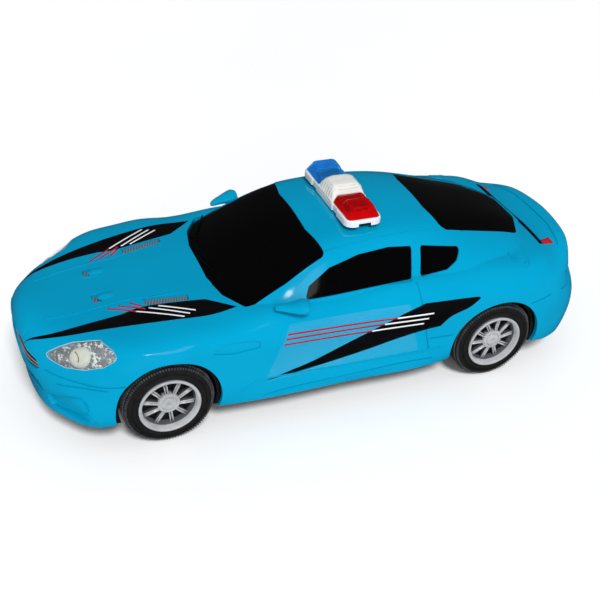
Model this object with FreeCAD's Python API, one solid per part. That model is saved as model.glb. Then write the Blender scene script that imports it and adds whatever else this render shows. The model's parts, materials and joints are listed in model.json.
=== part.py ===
import FreeCAD, Part
import os
import math

# Toy police patrol car, moulded plastic, free-rolling on two steel axles.
# Millimetres. X points to the nose, Y to the car's left, Z up, ground at zero.

# driving sizes of the whole toy
wheelbase = 171.0
wheel_mid_x = 0.75
half_width = 59.0
ground_clear = 14.0
grid_length = 100.0
wall = 2.2
tyre_radius = 21.9
axle_height = tyre_radius
front_axle_x = wheel_mid_x + wheelbase / 2
rear_axle_x = wheel_mid_x - wheelbase / 2

# wheel and axle sizes
arch_radius = 25.2
tyre_edge_y = 56.6
tyre_width = 17.0
tyre_shoulder = 2.4
rim_radius = 14.3
rim_face_y = 58.2
rim_bore = 13.1
rim_back_y = 42.0
rim_lip = 1.1
pocket_depth = 8.0
spoke_count = 10
spoke_depth = 3.2
spoke_width = 2.1
spoke_root_drop = 2.8
spoke_tip_drop = 4.2
hub_radius = 5.2
hub_drop = 2.4
cap_radius = 3.3
cap_rise = 0.7
lug_count = 5
lug_radius = 0.55
lug_rise = 0.45
disc_depth = 3.0
front_turn = 8
rear_turn = 22
axle_rod_radius = 1.6
axle_play = 0.06
axle_half_length = 55.0

# base plate sizes
base_thick = 2.0
base_inset = 0.25
base_recess = 0.3
well_wall = 1.4
well_gap = 0.5
saddle_width = 5.0
saddle_length = 9.0
saddle_y = 30.0
saddle_top = 4.0
well_inner_y = 36.5

# sizes: body sections
front_foot_share = (0.855, 0.22)
rear_foot_share = (-0.855, 0.22)
body_station_shares = (
    (front_foot_share, -15, ((0.56, 0.12), (0.565, 0.2), (0.547, 0.295), (0.512, 0.365),
                             (0.455, 0.437), (0.37, 0.51), (0.22, 0.573), (0, 0.588))),
    (front_foot_share, 5, ((0.575, 0.12), (0.58, 0.21), (0.56, 0.295), (0.52, 0.37),
                           (0.45, 0.44), (0.36, 0.51), (0.21, 0.573), (0, 0.59))),
    (front_foot_share, 20, ((0.58, 0.12), (0.58, 0.21), (0.55, 0.3), (0.495, 0.383),
                            (0.418, 0.47), (0.322, 0.545), (0.2, 0.61), (0, 0.635))),
    (front_foot_share, 26, ((0.58, 0.12), (0.58, 0.205), (0.552, 0.298), (0.495, 0.388),
                            (0.412, 0.47), (0.312, 0.54), (0.19, 0.6), (0, 0.63))),
    (front_foot_share, 33, ((0.583, 0.12), (0.583, 0.2), (0.559, 0.285), (0.508, 0.37),
                            (0.432, 0.447), (0.333, 0.503), (0.2, 0.54), (0, 0.555))),
    (front_foot_share, 46, ((0.585, 0.12), (0.587, 0.19), (0.574, 0.268), (0.531, 0.343),
                            (0.462, 0.402), (0.37, 0.43), (0.23, 0.441), (0, 0.445))),
    (front_foot_share, 68, ((0.585, 0.12), (0.59, 0.18), (0.585, 0.24), (0.567, 0.295),
                            (0.525, 0.34), (0.44, 0.36), (0.25, 0.366), (0, 0.37))),
    (front_foot_share, 90, ((0.585, 0.12), (0.59, 0.18), (0.59, 0.24), (0.575, 0.29),
                            (0.528, 0.33), (0.44, 0.348), (0.25, 0.355), (0, 0.36))),
    (front_foot_share, 115, ((0.58, 0.12), (0.587, 0.195), (0.585, 0.27), (0.573, 0.335),
                             (0.525, 0.38), (0.44, 0.396), (0.25, 0.404), (0, 0.41))),
    ((0.76, 0.12), 110.6, ((0.565, 0.1), (0.58, 0.19), (0.578, 0.29), (0.572, 0.41),
                           (0.523, 0.468), (0.44, 0.49), (0.25, 0.503), (0, 0.51))),
    ((0.44, 0), 90, ((0.54, 0.09), (0.573, 0.2), (0.57, 0.34), (0.57, 0.485),
                     (0.52, 0.567), (0.44, 0.59), (0.25, 0.6), (0, 0.605))),
    ((0.1, 0), 90, ((0.54, 0.09), (0.57, 0.2), (0.558, 0.34), (0.563, 0.49),
                    (0.515, 0.586), (0.44, 0.61), (0.24, 0.615), (0, 0.62))),
    ((-0.22, 0), 90, ((0.54, 0.09), (0.57, 0.2), (0.558, 0.34), (0.565, 0.5),
                      (0.515, 0.606), (0.44, 0.63), (0.24, 0.64), (0, 0.645))),
    ((-0.46, 0), 90, ((0.54, 0.09), (0.573, 0.2), (0.568, 0.34), (0.575, 0.505),
                      (0.52, 0.618), (0.445, 0.643), (0.24, 0.655), (0, 0.66))),
    ((-0.76, 0.12), 73.5, ((0.565, 0.1), (0.583, 0.185), (0.583, 0.29), (0.578, 0.41),
                           (0.523, 0.505), (0.448, 0.54), (0.24, 0.555), (0, 0.56))),
    (rear_foot_share, 90, ((0.585, 0.12), (0.59, 0.185), (0.59, 0.25), (0.58, 0.31),
                           (0.525, 0.385), (0.445, 0.42), (0.24, 0.44), (0, 0.445))),
    (rear_foot_share, 112, ((0.585, 0.12), (0.59, 0.19), (0.587, 0.265), (0.57, 0.335),
                            (0.51, 0.405), (0.43, 0.435), (0.24, 0.45), (0, 0.455))),
    (rear_foot_share, 130, ((0.585, 0.12), (0.588, 0.21), (0.578, 0.3), (0.545, 0.39),
                            (0.475, 0.47), (0.39, 0.507), (0.23, 0.525), (0, 0.53))),
    (rear_foot_share, 139, ((0.585, 0.12), (0.587, 0.215), (0.575, 0.315), (0.535, 0.412),
                            (0.463, 0.498), (0.37, 0.554), (0.22, 0.59), (0, 0.602))),
    (rear_foot_share, 146, ((0.585, 0.12), (0.585, 0.22), (0.57, 0.33), (0.52, 0.442),
                            (0.44, 0.542), (0.345, 0.618), (0.2, 0.672), (0, 0.69))),
    (rear_foot_share, 153, ((0.585, 0.12), (0.584, 0.22), (0.57, 0.33), (0.52, 0.447),
                            (0.445, 0.533), (0.35, 0.595), (0.21, 0.634), (0, 0.648))),
    (rear_foot_share, 163, ((0.583, 0.12), (0.583, 0.215), (0.565, 0.33), (0.518, 0.45),
                            (0.45, 0.535), (0.36, 0.59), (0.22, 0.623), (0, 0.633))),
    (rear_foot_share, 178, ((0.575, 0.12), (0.578, 0.215), (0.56, 0.32), (0.52, 0.43),
                            (0.46, 0.512), (0.375, 0.567), (0.23, 0.603), (0, 0.615))),
    (rear_foot_share, 194, ((0.56, 0.12), (0.56, 0.205), (0.545, 0.31), (0.51, 0.41),
                            (0.45, 0.49), (0.37, 0.548), (0.23, 0.587), (0, 0.6))),
)

# sizes: greenhouse sections
roof_station_shares = (
    ((0.56, 0.46, 0.44), (0.58, 0.43, 0.465), (0.6, 0.4, 0.49), (0.63, 0.36, 0.52),
     (0.68, 0.2, 0.54), (0.7, 0, 0.545)),
    ((0.4, 0.5, 0.48), (0.42, 0.47, 0.51), (0.44, 0.44, 0.54), (0.465, 0.405, 0.575),
     (0.53, 0.22, 0.595), (0.555, 0, 0.6)),
    ((0.22, 0.52, 0.52), (0.23, 0.49, 0.58), (0.24, 0.45, 0.63), (0.255, 0.385, 0.685),
     (0.31, 0.2, 0.715), (0.33, 0, 0.725)),
    ((-0.02, 0.52, 0.54), (-0.015, 0.49, 0.61), (0, 0.43, 0.69), (0.034, 0.36, 0.77),
     (0.075, 0.21, 0.81), (0.092, 0, 0.822)),
    ((-0.2, 0.52, 0.55), (-0.2, 0.485, 0.62), (-0.2, 0.425, 0.7), (-0.2, 0.358, 0.783),
     (-0.2, 0.22, 0.833), (-0.2, 0, 0.848)),
    ((-0.42, 0.52, 0.56), (-0.42, 0.48, 0.635), (-0.42, 0.42, 0.71), (-0.42, 0.348, 0.782),
     (-0.42, 0.205, 0.83), (-0.42, 0, 0.845)),
    ((-0.66, 0.51, 0.57), (-0.66, 0.47, 0.645), (-0.65, 0.41, 0.705), (-0.62, 0.315, 0.766),
     (-0.605, 0.185, 0.808), (-0.6, 0, 0.82)),
    ((-0.9, 0.48, 0.57), (-0.9, 0.435, 0.63), (-0.89, 0.37, 0.675), (-0.87, 0.28, 0.71),
     (-0.86, 0.165, 0.742), (-0.855, 0, 0.752)),
    ((-1.12, 0.44, 0.52), (-1.13, 0.39, 0.56), (-1.135, 0.33, 0.6), (-1.12, 0.24, 0.637),
     (-1.14, 0.14, 0.652), (-1.145, 0, 0.655)),
    ((-1.26, 0.4, 0.45), (-1.27, 0.35, 0.48), (-1.27, 0.29, 0.51), (-1.27, 0.21, 0.54),
     (-1.28, 0.12, 0.56), (-1.28, 0, 0.565)),
)
roof_skirt_low = 50.0
inner_drop = 4.0

# sizes: glazing
glass_gap = 0.12
glass_inset = 0.3
glass_thick = 1.5
window_corner = 2.5
side_window_corner = 1.2
rear_window_corner = 5.0
door_glass_shares = ((0.178, 0.612), (-0.372, 0.631), (-0.404, 0.756), (-0.28, 0.767), (-0.12, 0.757),
                     (0.035, 0.723), (0.148, 0.664))
quarter_glass_shares = ((-0.418, 0.636), (-0.57, 0.646), (-0.63, 0.672), (-0.672, 0.716), (-0.452, 0.752))
windscreen_shares = ((0.45, 0.422), (0.525, 0.3), (0.557, 0.15), (0.557, -0.15), (0.525, -0.3),
                     (0.45, -0.422), (0.25, -0.405), (0.04, -0.362), (0.075, -0.18), (0.075, 0.18),
                     (0.04, 0.362), (0.25, 0.405))
rear_glass_shares = ((-0.61, 0.312), (-0.572, 0.15), (-0.572, -0.15), (-0.61, -0.312), (-1.09, -0.262),
                     (-1.16, -0.1), (-1.16, 0.1), (-1.09, 0.262))
hood_rise = 0.45
hood_corner = 4.0
hood_shares = ((1.6, 0.12), (1.27, 0.195), (0.5, 0.2), (0.5, -0.2), (1.27, -0.195), (1.6, -0.12))

# sizes: nose openings and lamps
grille_corner = 2.0
grille_shares = ((0.12, 0.437), (-0.12, 0.437), (-0.28, 0.4), (-0.315, 0.37), (-0.295, 0.35),
                 (-0.18, 0.335), (0.18, 0.335), (0.295, 0.35), (0.315, 0.37), (0.28, 0.4))
intake_shares = ((0.28, 0.3), (-0.28, 0.3), (-0.325, 0.25), (0.325, 0.25))
intake_slot_shares = ((0.31, 0.27), (-0.31, 0.27), (-0.32, 0.228), (0.32, 0.228))
scoop_shares = ((0.345, 0.24), (0.49, 0.3), (0.525, 0.26), (0.535, 0.175), (0.345, 0.175))
scoop_depth = 1.4
scoop_corner = 1.5
nose_back_share = 1.2
insert_inset = 1.2
insert_thick = 1.0
lamp_inset = 0.2
lamp_thick = 0.8
reflector_inset = 2.9
reflector_thick = 0.8
bulb_inset = 1.3
bulb_radius = 7.0
bulb_sink = 8.0
bulb_share = (1.185, 0.435, 0.485)
vent_corner = 1.0
small_vent_shares = ((1.1, 0.14), (1.055, 0.144), (1.055, 0.085), (1.1, 0.08))
long_vent_shares = ((0.88, 0.2), (0.88, 0.255), (0.68, 0.285), (0.675, 0.24))

# sizes: headlamps, cut along a direction out of the front corner
lamp_centre_share = (1.2, 0.42, 0.475)
lamp_corner = 2.0
lamp_tips_shares = ((1.36, 0.3, 0.435), (1.24, 0.345, 0.505), (1.13, 0.4, 0.535),
                    (1.08, 0.48, 0.52), (1.065, 0.52, 0.495), (1.12, 0.505, 0.448),
                    (1.2, 0.462, 0.419), (1.28, 0.4, 0.407), (1.335, 0.335, 0.416))
lamp_reach = 25.0

# sizes: panel lines pressed into the outer skin
groove_depth = 0.45
groove_width = 0.7
door_line_shares = ((0.365, 0.245), (0.373, 0.36), (0.38, 0.5), (0.365, 0.57), (0.33, 0.61))
door_rear_shares = ((-0.385, 0.63), (-0.4, 0.54), (-0.44, 0.38), (-0.47, 0.26))
bumper_line_shares = ((1.055, 0.379), (1.205, 0.367), (1.305, 0.369), (1.37, 0.371))
bumper_fold_shares = ((1.13, 0.352), (1.255, 0.343), (1.33, 0.33))
waist_line_shares = ((-0.47, 0.316), (-0.6, 0.32))
tail_line_shares = ((-1.03, 0.428), (-1.08, 0.435), (-1.16, 0.442))
sill_top_shares = ((0.585, 0.215), (0.52, 0.233), (0.44, 0.247), (0.1, 0.24), (-0.21, 0.237), (-0.53, 0.216))
sill_low_shares = ((0.4, 0.168), (0.34, 0.177), (0.13, 0.187), (-0.13, 0.193), (-0.36, 0.197), (-0.5, 0.196))
strake_shares = ((0.68, 0.478), (0.56, 0.512), (0.425, 0.495), (0.425, 0.46), (0.56, 0.452))
strake_depth = 0.6
strake_corner = 1.0
cap_place_shares = (-1.0, 0.62)
fuel_cap_radius = 3.6
tail_lamp_shares = ((-1.19, 0.486), (-1.25, 0.512), (-1.36, 0.495), (-1.42, 0.44), (-1.33, 0.42),
                    (-1.25, 0.43))
tail_lamp_depth = 0.9
tail_lamp_corner = 1.5
lid_shares = ((-1.1, 0.305), (-1.15, 0.35), (-1.31, 0.34), (-1.345, 0.17), (-1.345, -0.17), (-1.31, -0.34),
              (-1.15, -0.35), (-1.1, -0.305), (-1.185, -0.12), (-1.185, 0.12))
lid_depth = 0.5
lid_corner = 2.0

# sizes: small humps behind the hood vents
hump_share = (1.02, 0.105, 0.552)
hump_half_length = 5.5
hump_half_width = 3.4
hump_half_height = 1.7

# sizes: screw posts moulded into the body
post_radius = 3.0
post_bore = 1.05
post_shares = ((1.15, 0.2), (-1.2, 0.22))

# sizes: base plate with wheel wells, axle bearings and screw seats
screw_head = 2.4
screw_seat = 1.1

# sizes: light bar on the roof
bar_setback = 18.7
bar_half_length = 29.0
bar_half_width = 9.6
bar_skirt_low = 84.2
bar_foot_low = 78.0
bar_foot_inset = 2.4
bar_deck = 88.3
bar_corner = 4.0
bar_top = 93.5
bar_saddle_top = 91.8
bar_saddle_y = 16.5
bar_mid_top = 95.2
bar_mid_half = 9.0
bar_mid_slope = 2.2
dome_inset = 1.1
dome_slope = 2.6
dome_corner = 2.2
notch_half = 3.2
notch_depth = 1.2
slot_count = 5
slot_pitch = 2.6
slot_width = 1.0
slot_depth = 2.6

# sizes: door mirrors
oval_points = 12
mirror_section_shares = ((0.335, 0.5, 0.612, 0.012, 0.01), (0.29, 0.515, 0.618, 0.03, 0.017),
                         (0.245, 0.53, 0.62, 0.042, 0.025), (0.2, 0.535, 0.624, 0.048, 0.03),
                         (0.185, 0.535, 0.624, 0.04, 0.024))

up = FreeCAD.Vector(0, 0, 1)
down = FreeCAD.Vector(0, 0, -1)
along_y = FreeCAD.Vector(0, 1, 0)
big = 4 * half_width


def vec(x, y, z):
    return FreeCAD.Vector(x, y, z)


def box(x0, x1, y0, y1, z0, z1):
    return Part.makeBox(x1 - x0, y1 - y0, z1 - z0, vec(x0, y0, z0))


def cyl_y(x, z, radius, y0, y1):
    return Part.makeCylinder(radius, y1 - y0, vec(x, y0, z), along_y)


def cyl_z(x, y, radius, z0, z1):
    return Part.makeCylinder(radius, z1 - z0, vec(x, y, z0), up)


def mirror_y(shape):
    return shape.mirror(vec(0, 0, 0), along_y)


def both_sides(shape):
    return [shape, mirror_y(shape)]


def fused(shapes):
    if len(shapes) == 1:
        return shapes[0]
    return shapes[0].multiFuse(shapes[1:]).removeSplitter()


# body sections
# Each station is a plane across the car, given by the share of its foot point, its angle from the
# X axis, and the (half width, distance from the foot) shares of its eight rows, sill to centreline.

# greenhouse sections: (along, half width, height) shares, from hidden skirt up to the centreline


def across(half_points):
    """Full row of points from the left side over the centreline to the right side."""
    left = [vec(p[0], p[1], p[2]) for p in half_points]
    right = [vec(p[0], -p[1], p[2]) for p in reversed(half_points[:-1])]
    return left + right


def body_grid():
    rows = []
    for foot, angle, pairs in body_station_shares:
        c = math.cos(math.radians(angle))
        s = math.sin(math.radians(angle))
        half = []
        for width_share, reach_share in pairs:
            x = wheel_mid_x + grid_length * (foot[0] + reach_share * c)
            z = grid_length * (foot[1] + reach_share * s)
            half.append((x, grid_length * width_share, z))
        rows.append(across(half))
    return rows


def roof_grid():
    rows = []
    for station in roof_station_shares:
        half = [(wheel_mid_x + grid_length * a, grid_length * b, grid_length * c)
                for a, b, c in station]
        rows.append(across(half))
    return rows


def chord_marks(lines):
    """Mean share of arc length at each point, over several lines of points."""
    count = len(lines[0])
    marks = [0.0] * count
    for line in lines:
        steps = [(line[i + 1] - line[i]).Length for i in range(count - 1)]
        whole = sum(steps)
        run = 0.0
        for i in range(count - 1):
            run += steps[i] / whole
            marks[i + 1] += run / len(lines)
    marks[-1] = 1.0
    return marks


def clamped_knots(marks, degree):
    """Knots averaged from the marks, repeated at both ends."""
    inner_knots = []
    for j in range(1, len(marks) - degree):
        inner_knots.append(sum(marks[j:j + degree]) / degree)
    return [0.0] * (degree + 1) + inner_knots + [1.0] * (degree + 1)


def basis_row(t, knots, degree, count):
    """Values of all the basis functions at one mark."""
    values = [0.0] * (len(knots) - 1)
    for i in range(len(knots) - 1):
        last = t >= 1.0 and knots[i] < 1.0 and knots[i + 1] >= 1.0
        if knots[i] <= t < knots[i + 1] or last:
            values[i] = 1.0
    for k in range(1, degree + 1):
        for i in range(len(knots) - 1 - k):
            a = knots[i + k] - knots[i]
            b = knots[i + k + 1] - knots[i + 1]
            first = (t - knots[i]) / a * values[i] if a > 0 else 0.0
            second = (knots[i + k + 1] - t) / b * values[i + 1] if b > 0 else 0.0
            values[i] = first + second
    return values[:count]


def solved(matrix, right_sides):
    """Gaussian elimination for a list of vectors on the right."""
    n = len(matrix)
    a = [list(row) for row in matrix]
    r = [vec(q.x, q.y, q.z) for q in right_sides]
    for i in range(n):
        pivot = max(range(i, n), key=lambda k: abs(a[k][i]))
        a[i], a[pivot] = a[pivot], a[i]
        r[i], r[pivot] = r[pivot], r[i]
        for k in range(i + 1, n):
            f = a[k][i] / a[i][i]
            if f != 0:
                a[k] = [a[k][m] - f * a[i][m] for m in range(n)]
                r[k] = r[k] - r[i] * f
    out = [None] * n
    for i in range(n - 1, -1, -1):
        total = vec(r[i].x, r[i].y, r[i].z)
        for m in range(i + 1, n):
            total = total - out[m] * a[i][m]
        out[i] = total * (1 / a[i][i])
    return out


def skin(grid, first_mark=0):
    """Smooth surface through a grid of points, one row of points per station."""
    degree = 3
    stations = len(grid)
    across_count = len(grid[0])
    columns = [[row[j] for row in grid] for j in range(first_mark, across_count - first_mark)]
    u_marks = chord_marks(columns)
    v_marks = chord_marks(grid)
    u_knots = clamped_knots(u_marks, degree)
    v_knots = clamped_knots(v_marks, degree)
    u_matrix = [basis_row(t, u_knots, degree, stations) for t in u_marks]
    v_matrix = [basis_row(t, v_knots, degree, across_count) for t in v_marks]
    half = [solved(v_matrix, row) for row in grid]
    poles = [[None] * across_count for i in range(stations)]
    for j in range(across_count):
        column = solved(u_matrix, [half[i][j] for i in range(stations)])
        for i in range(stations):
            poles[i][j] = column[i]
    surface = Part.BSplineSurface()
    u_inner = u_knots[degree + 1:-degree - 1]
    v_inner = v_knots[degree + 1:-degree - 1]
    surface.buildFromPolesMultsKnots(
        poles,
        [degree + 1] + [1] * len(u_inner) + [degree + 1],
        [degree + 1] + [1] * len(v_inner) + [degree + 1],
        [0.0] + u_inner + [1.0],
        [0.0] + v_inner + [1.0],
        False, False, degree, degree)
    return surface


def inset_grid(grid, surface, depth):
    """The grid moved inward along the skin's normals."""
    rows = []
    for row in grid:
        moved = []
        for p in row:
            u, v = surface.parameter(p)
            n = surface.normal(u, v)
            inside = vec(0, 0, ground_clear * 2) - p
            if n.dot(inside) < 0:
                n = n.negative()
            moved.append(p + n * depth)
        rows.append(moved)
    return rows


def closed_under(surface):
    """Solid between a body skin and ruled faces across its lower edges."""
    face = surface.toShape()
    u0, u1, v0, v1 = surface.bounds()
    left = surface.vIso(v0).toShape()
    right = surface.vIso(v1).toShape()
    nose = surface.uIso(u0).toShape()
    tail = surface.uIso(u1).toShape()
    bottom = Part.makeRuledSurface(left, right)
    faces = [face, bottom]
    for edge in (nose, tail):
        ends = [v.Point for v in edge.Vertexes]
        chord = Part.makeLine(ends[0], ends[-1])
        faces.append(Part.makeRuledSurface(edge, chord))
    shell = Part.makeShell(faces)
    shell.sewShape()
    solid = Part.Solid(shell)
    if solid.Volume < 0:
        solid.reverse()
    return solid


def drop_lower_row(grid, depth):
    """The open inner skin reaches past the outer one at its lower edge."""
    rows = []
    for row in grid:
        new = list(row)
        for end, nxt in ((0, 1), (-1, -2)):
            step = row[end] - row[nxt]
            step.normalize()
            new[end] = row[end] + step * depth
        rows.append(new)
    for end, nxt in ((0, 1), (-1, -2)):
        for j in range(len(rows[end])):
            step = grid[end][j] - grid[nxt][j]
            step.normalize()
            rows[end][j] = rows[end][j] + step * depth
    return rows


def dome(surface, low):
    solid = surface.toShape().extrude(down * grid_length)
    keep = box(-big, big, -big, big, low, big)
    return solid.common(keep)


outer_grid = body_grid()
outer_skin = skin(outer_grid, 3)
inner_grid = drop_lower_row(inset_grid(outer_grid, outer_skin, wall), inner_drop)
inner_skin = skin(inner_grid, 3)
roof_outer_grid = roof_grid()
roof_skin = skin(roof_outer_grid)
roof_inner_skin = skin(inset_grid(roof_outer_grid, roof_skin, wall))

lower_outer = closed_under(outer_skin)
lower_inner = closed_under(inner_skin)
roof_outer = dome(roof_skin, roof_skirt_low)
roof_inner = dome(roof_inner_skin, roof_skirt_low - inner_drop)


above_ground = box(-big, big, -big, big, ground_clear, big)

# outlines
def rounded_wire(points, radius, place):
    """Closed outline with rounded corners; place turns a flat pair into a point in space."""
    count = len(points)
    cuts = []
    for i in range(count):
        here = vec(points[i][0], points[i][1], 0)
        before = vec(points[i - 1][0], points[i - 1][1], 0)
        after = vec(points[(i + 1) % count][0], points[(i + 1) % count][1], 0)
        a = before - here
        b = after - here
        half = a.getAngle(b) / 2
        reach = min(radius / math.tan(half), 0.45 * a.Length, 0.45 * b.Length)
        true_radius = reach * math.tan(half)
        a.normalize()
        b.normalize()
        mid = a + b
        mid.normalize()
        centre = here + mid * (true_radius / math.sin(half))
        cuts.append((here + a * reach, centre - mid * true_radius, here + b * reach))
    edges = []
    for i in range(count):
        first, middle, last = [place(q.x, q.y) for q in cuts[i]]
        edges.append(Part.Arc(first, middle, last).toShape())
        following = place(cuts[(i + 1) % count][0].x, cuts[(i + 1) % count][0].y)
        if (following - last).Length > wall / grid_length:
            edges.append(Part.makeLine(last, following))
    return Part.Wire(edges)


def shrunk(points, gap):
    """Outline moved inward by a gap."""
    count = len(points)
    area = sum(points[i][0] * points[(i + 1) % count][1] - points[(i + 1) % count][0] * points[i][1]
               for i in range(count))
    turn = 1 if area > 0 else -1
    out = []
    for i in range(count):
        p = vec(points[i][0], points[i][1], 0)
        a = p - vec(points[i - 1][0], points[i - 1][1], 0)
        b = vec(points[(i + 1) % count][0], points[(i + 1) % count][1], 0) - p
        a.normalize()
        b.normalize()
        na = vec(-a.y, a.x, 0) * turn
        nb = vec(-b.y, b.x, 0) * turn
        n = na + nb
        n.normalize()
        q = p + n * (gap / max(n.dot(na), 0.3))
        out.append((q.x, q.y))
    return out


def sized(shares):
    return [(wheel_mid_x + grid_length * a, grid_length * b) for a, b in shares]


def plain_sized(shares):
    return [(grid_length * a, grid_length * b) for a, b in shares]


def side_prism(points, radius, y0, y1):
    wire = rounded_wire(points, radius, lambda a, b: vec(a, y0, b))
    return Part.Face(wire).extrude(vec(0, y1 - y0, 0))


def plan_prism(points, radius, z0, z1):
    wire = rounded_wire(points, radius, lambda a, b: vec(a, b, z0))
    return Part.Face(wire).extrude(vec(0, 0, z1 - z0))


def front_prism(points, radius, x0, x1):
    wire = rounded_wire(points, radius, lambda a, b: vec(x0, a, b))
    return Part.Face(wire).extrude(vec(x1 - x0, 0, 0))


# glazing
door_glass = sized(door_glass_shares)
quarter_glass = sized(quarter_glass_shares)
windscreen_outline = sized(windscreen_shares)
rear_glass_outline = sized(rear_glass_shares)

glass_outer_skin = skin(inset_grid(roof_outer_grid, roof_skin, glass_inset))
glass_inner_skin = skin(inset_grid(roof_outer_grid, roof_skin, glass_inset + glass_thick))
glass_low = roof_skirt_low + inner_drop
glass_layer = dome(glass_outer_skin, glass_low).cut(dome(glass_inner_skin, glass_low - inner_drop))
side_low = half_width / 3
windows_cut = []
glass_parts = {}
for name, outline in (("door", door_glass), ("quarter", quarter_glass)):
    windows_cut.extend(both_sides(side_prism(outline, side_window_corner, side_low, half_width)))
    inside_prism = side_prism(shrunk(outline, glass_gap), side_window_corner, side_low, half_width)
    glass_parts[name] = glass_layer.common(inside_prism)
roof_low = roof_skirt_low + inner_drop
windows_cut.append(plan_prism(windscreen_outline, window_corner, roof_low, big))
windows_cut.append(plan_prism(rear_glass_outline, rear_window_corner, roof_low, big))
windscreen = glass_layer.common(
    plan_prism(shrunk(windscreen_outline, glass_gap), window_corner, roof_low, big))
rear_glass = glass_layer.common(
    plan_prism(shrunk(rear_glass_outline, glass_gap), rear_window_corner, roof_low, big))

raised_solid = closed_under(skin(inset_grid(outer_grid, outer_skin, -hood_rise), 3))
hood_panel = raised_solid.common(plan_prism(sized(hood_shares), hood_corner, 2 * axle_height, grid_length))
outer = lower_outer.multiFuse([roof_outer, hood_panel])
inner = lower_inner.fuse(roof_inner)
body = outer.cut(inner).common(above_ground)
for axle_x in (front_axle_x, rear_axle_x):
    body = body.cut(cyl_y(axle_x, axle_height, arch_radius, -big, big))

# nose openings and lamps
nose_back_x = wheel_mid_x + grid_length * nose_back_share
nose_front_x = big
insert_outer = closed_under(skin(inset_grid(outer_grid, outer_skin, insert_inset), 3))
insert_inner = closed_under(skin(drop_lower_row(
    inset_grid(outer_grid, outer_skin, insert_inset + insert_thick), inner_drop), 3))
insert_layer = insert_outer.cut(insert_inner)
lamp_outer = closed_under(skin(inset_grid(outer_grid, outer_skin, lamp_inset), 3))
lamp_inner = closed_under(skin(drop_lower_row(
    inset_grid(outer_grid, outer_skin, lamp_inset + lamp_thick), inner_drop), 3))
lamp_layer = lamp_outer.cut(lamp_inner)
reflector_outer = closed_under(skin(inset_grid(outer_grid, outer_skin, reflector_inset), 3))
reflector_inner = closed_under(skin(drop_lower_row(
    inset_grid(outer_grid, outer_skin, reflector_inset + reflector_thick), inner_drop), 3))
bulb_outer = closed_under(skin(inset_grid(outer_grid, outer_skin, bulb_inset), 3))

grille_outline = plain_sized(grille_shares)
intake_outline = plain_sized(intake_shares)
slot_outline = plain_sized(intake_slot_shares)
nose_cuts = [front_prism(outline, grille_corner, nose_back_x, nose_front_x)
             for outline in (grille_outline, intake_outline, slot_outline)]
grille = insert_layer.common(
    front_prism(shrunk(grille_outline, glass_gap), grille_corner, nose_back_x, nose_front_x))
intake = insert_layer.common(
    front_prism(shrunk(intake_outline, glass_gap), grille_corner, nose_back_x, nose_front_x))

vent_outlines = []
for shares in (small_vent_shares, long_vent_shares):
    vent_outlines.append(sized(shares))
    vent_outlines.append([(a, -b) for a, b in sized(shares)])
vent_cuts = [plan_prism(o, vent_corner, axle_height * 2, grid_length) for o in vent_outlines]
vents = [insert_layer.common(plan_prism(shrunk(o, glass_gap), vent_corner, axle_height * 2, grid_length))
         for o in vent_outlines]

# headlamps, cut along a direction out of the front corner
lamp_aim = vec(0.75, 0.3, 0.55)
lamp_aim.normalize()
lamp_side = along_y.cross(lamp_aim)
lamp_side.normalize()
lamp_rise = lamp_aim.cross(lamp_side)
lamp_centre = vec(wheel_mid_x + grid_length * lamp_centre_share[0],
                  grid_length * lamp_centre_share[1], grid_length * lamp_centre_share[2])
lamp_outline = []
for a, b, c in lamp_tips_shares:
    p = vec(wheel_mid_x + grid_length * a, grid_length * b, grid_length * c) - lamp_centre
    lamp_outline.append((p.dot(lamp_side), p.dot(lamp_rise)))


def lamp_prism(outline):
    def place(a, b):
        return lamp_centre + lamp_side * a + lamp_rise * b - lamp_aim * lamp_reach
    wire = rounded_wire(outline, lamp_corner, place)
    return Part.Face(wire).extrude(lamp_aim * (2 * lamp_reach))


lamp_cuts = both_sides(lamp_prism(lamp_outline))
lamp_left = lamp_layer.common(lamp_prism(shrunk(lamp_outline, glass_gap)))
inside_lamp = lamp_prism(shrunk(lamp_outline, 2 * glass_gap))
reflector_left = reflector_outer.cut(reflector_inner).common(inside_lamp)
bulb_centre = vec(wheel_mid_x + grid_length * bulb_share[0], grid_length * bulb_share[1],
                  grid_length * bulb_share[2]) - lamp_aim * bulb_sink
bulb = Part.makeSphere(bulb_radius, bulb_centre)
bulb_left = bulb.common(bulb_outer).cut(reflector_outer)

for tool in windows_cut + nose_cuts + vent_cuts + lamp_cuts:
    body = body.cut(tool)

# panel lines pressed into the outer skin
groove_floor = closed_under(skin(drop_lower_row(
    inset_grid(outer_grid, outer_skin, groove_depth), inner_drop), 3))
groove_band = lower_outer.cut(groove_floor)


def ribbon(points, width):
    """Flat band of even width along a row of points."""
    left = []
    right = []
    for i, p in enumerate(points):
        before = points[max(i - 1, 0)]
        after = points[min(i + 1, len(points) - 1)]
        t = vec(after[0] - before[0], after[1] - before[1], 0)
        t.normalize()
        left.append((p[0] - t.y * width / 2, p[1] + t.x * width / 2))
        right.append((p[0] + t.y * width / 2, p[1] - t.x * width / 2))
    return left, right


def curve_band(points, width, place):
    left, right = ribbon(points, width)
    edges = []
    for side_points in (left, right):
        curve = Part.BSplineCurve()
        curve.interpolate([place(a, b) for a, b in side_points])
        edges.append(curve.toShape())
    ends = [Part.makeLine(place(*left[at]), place(*right[at])) for at in (0, -1)]
    return Part.Face(Part.Wire(Part.sortEdges(edges + ends)[0]))


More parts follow.
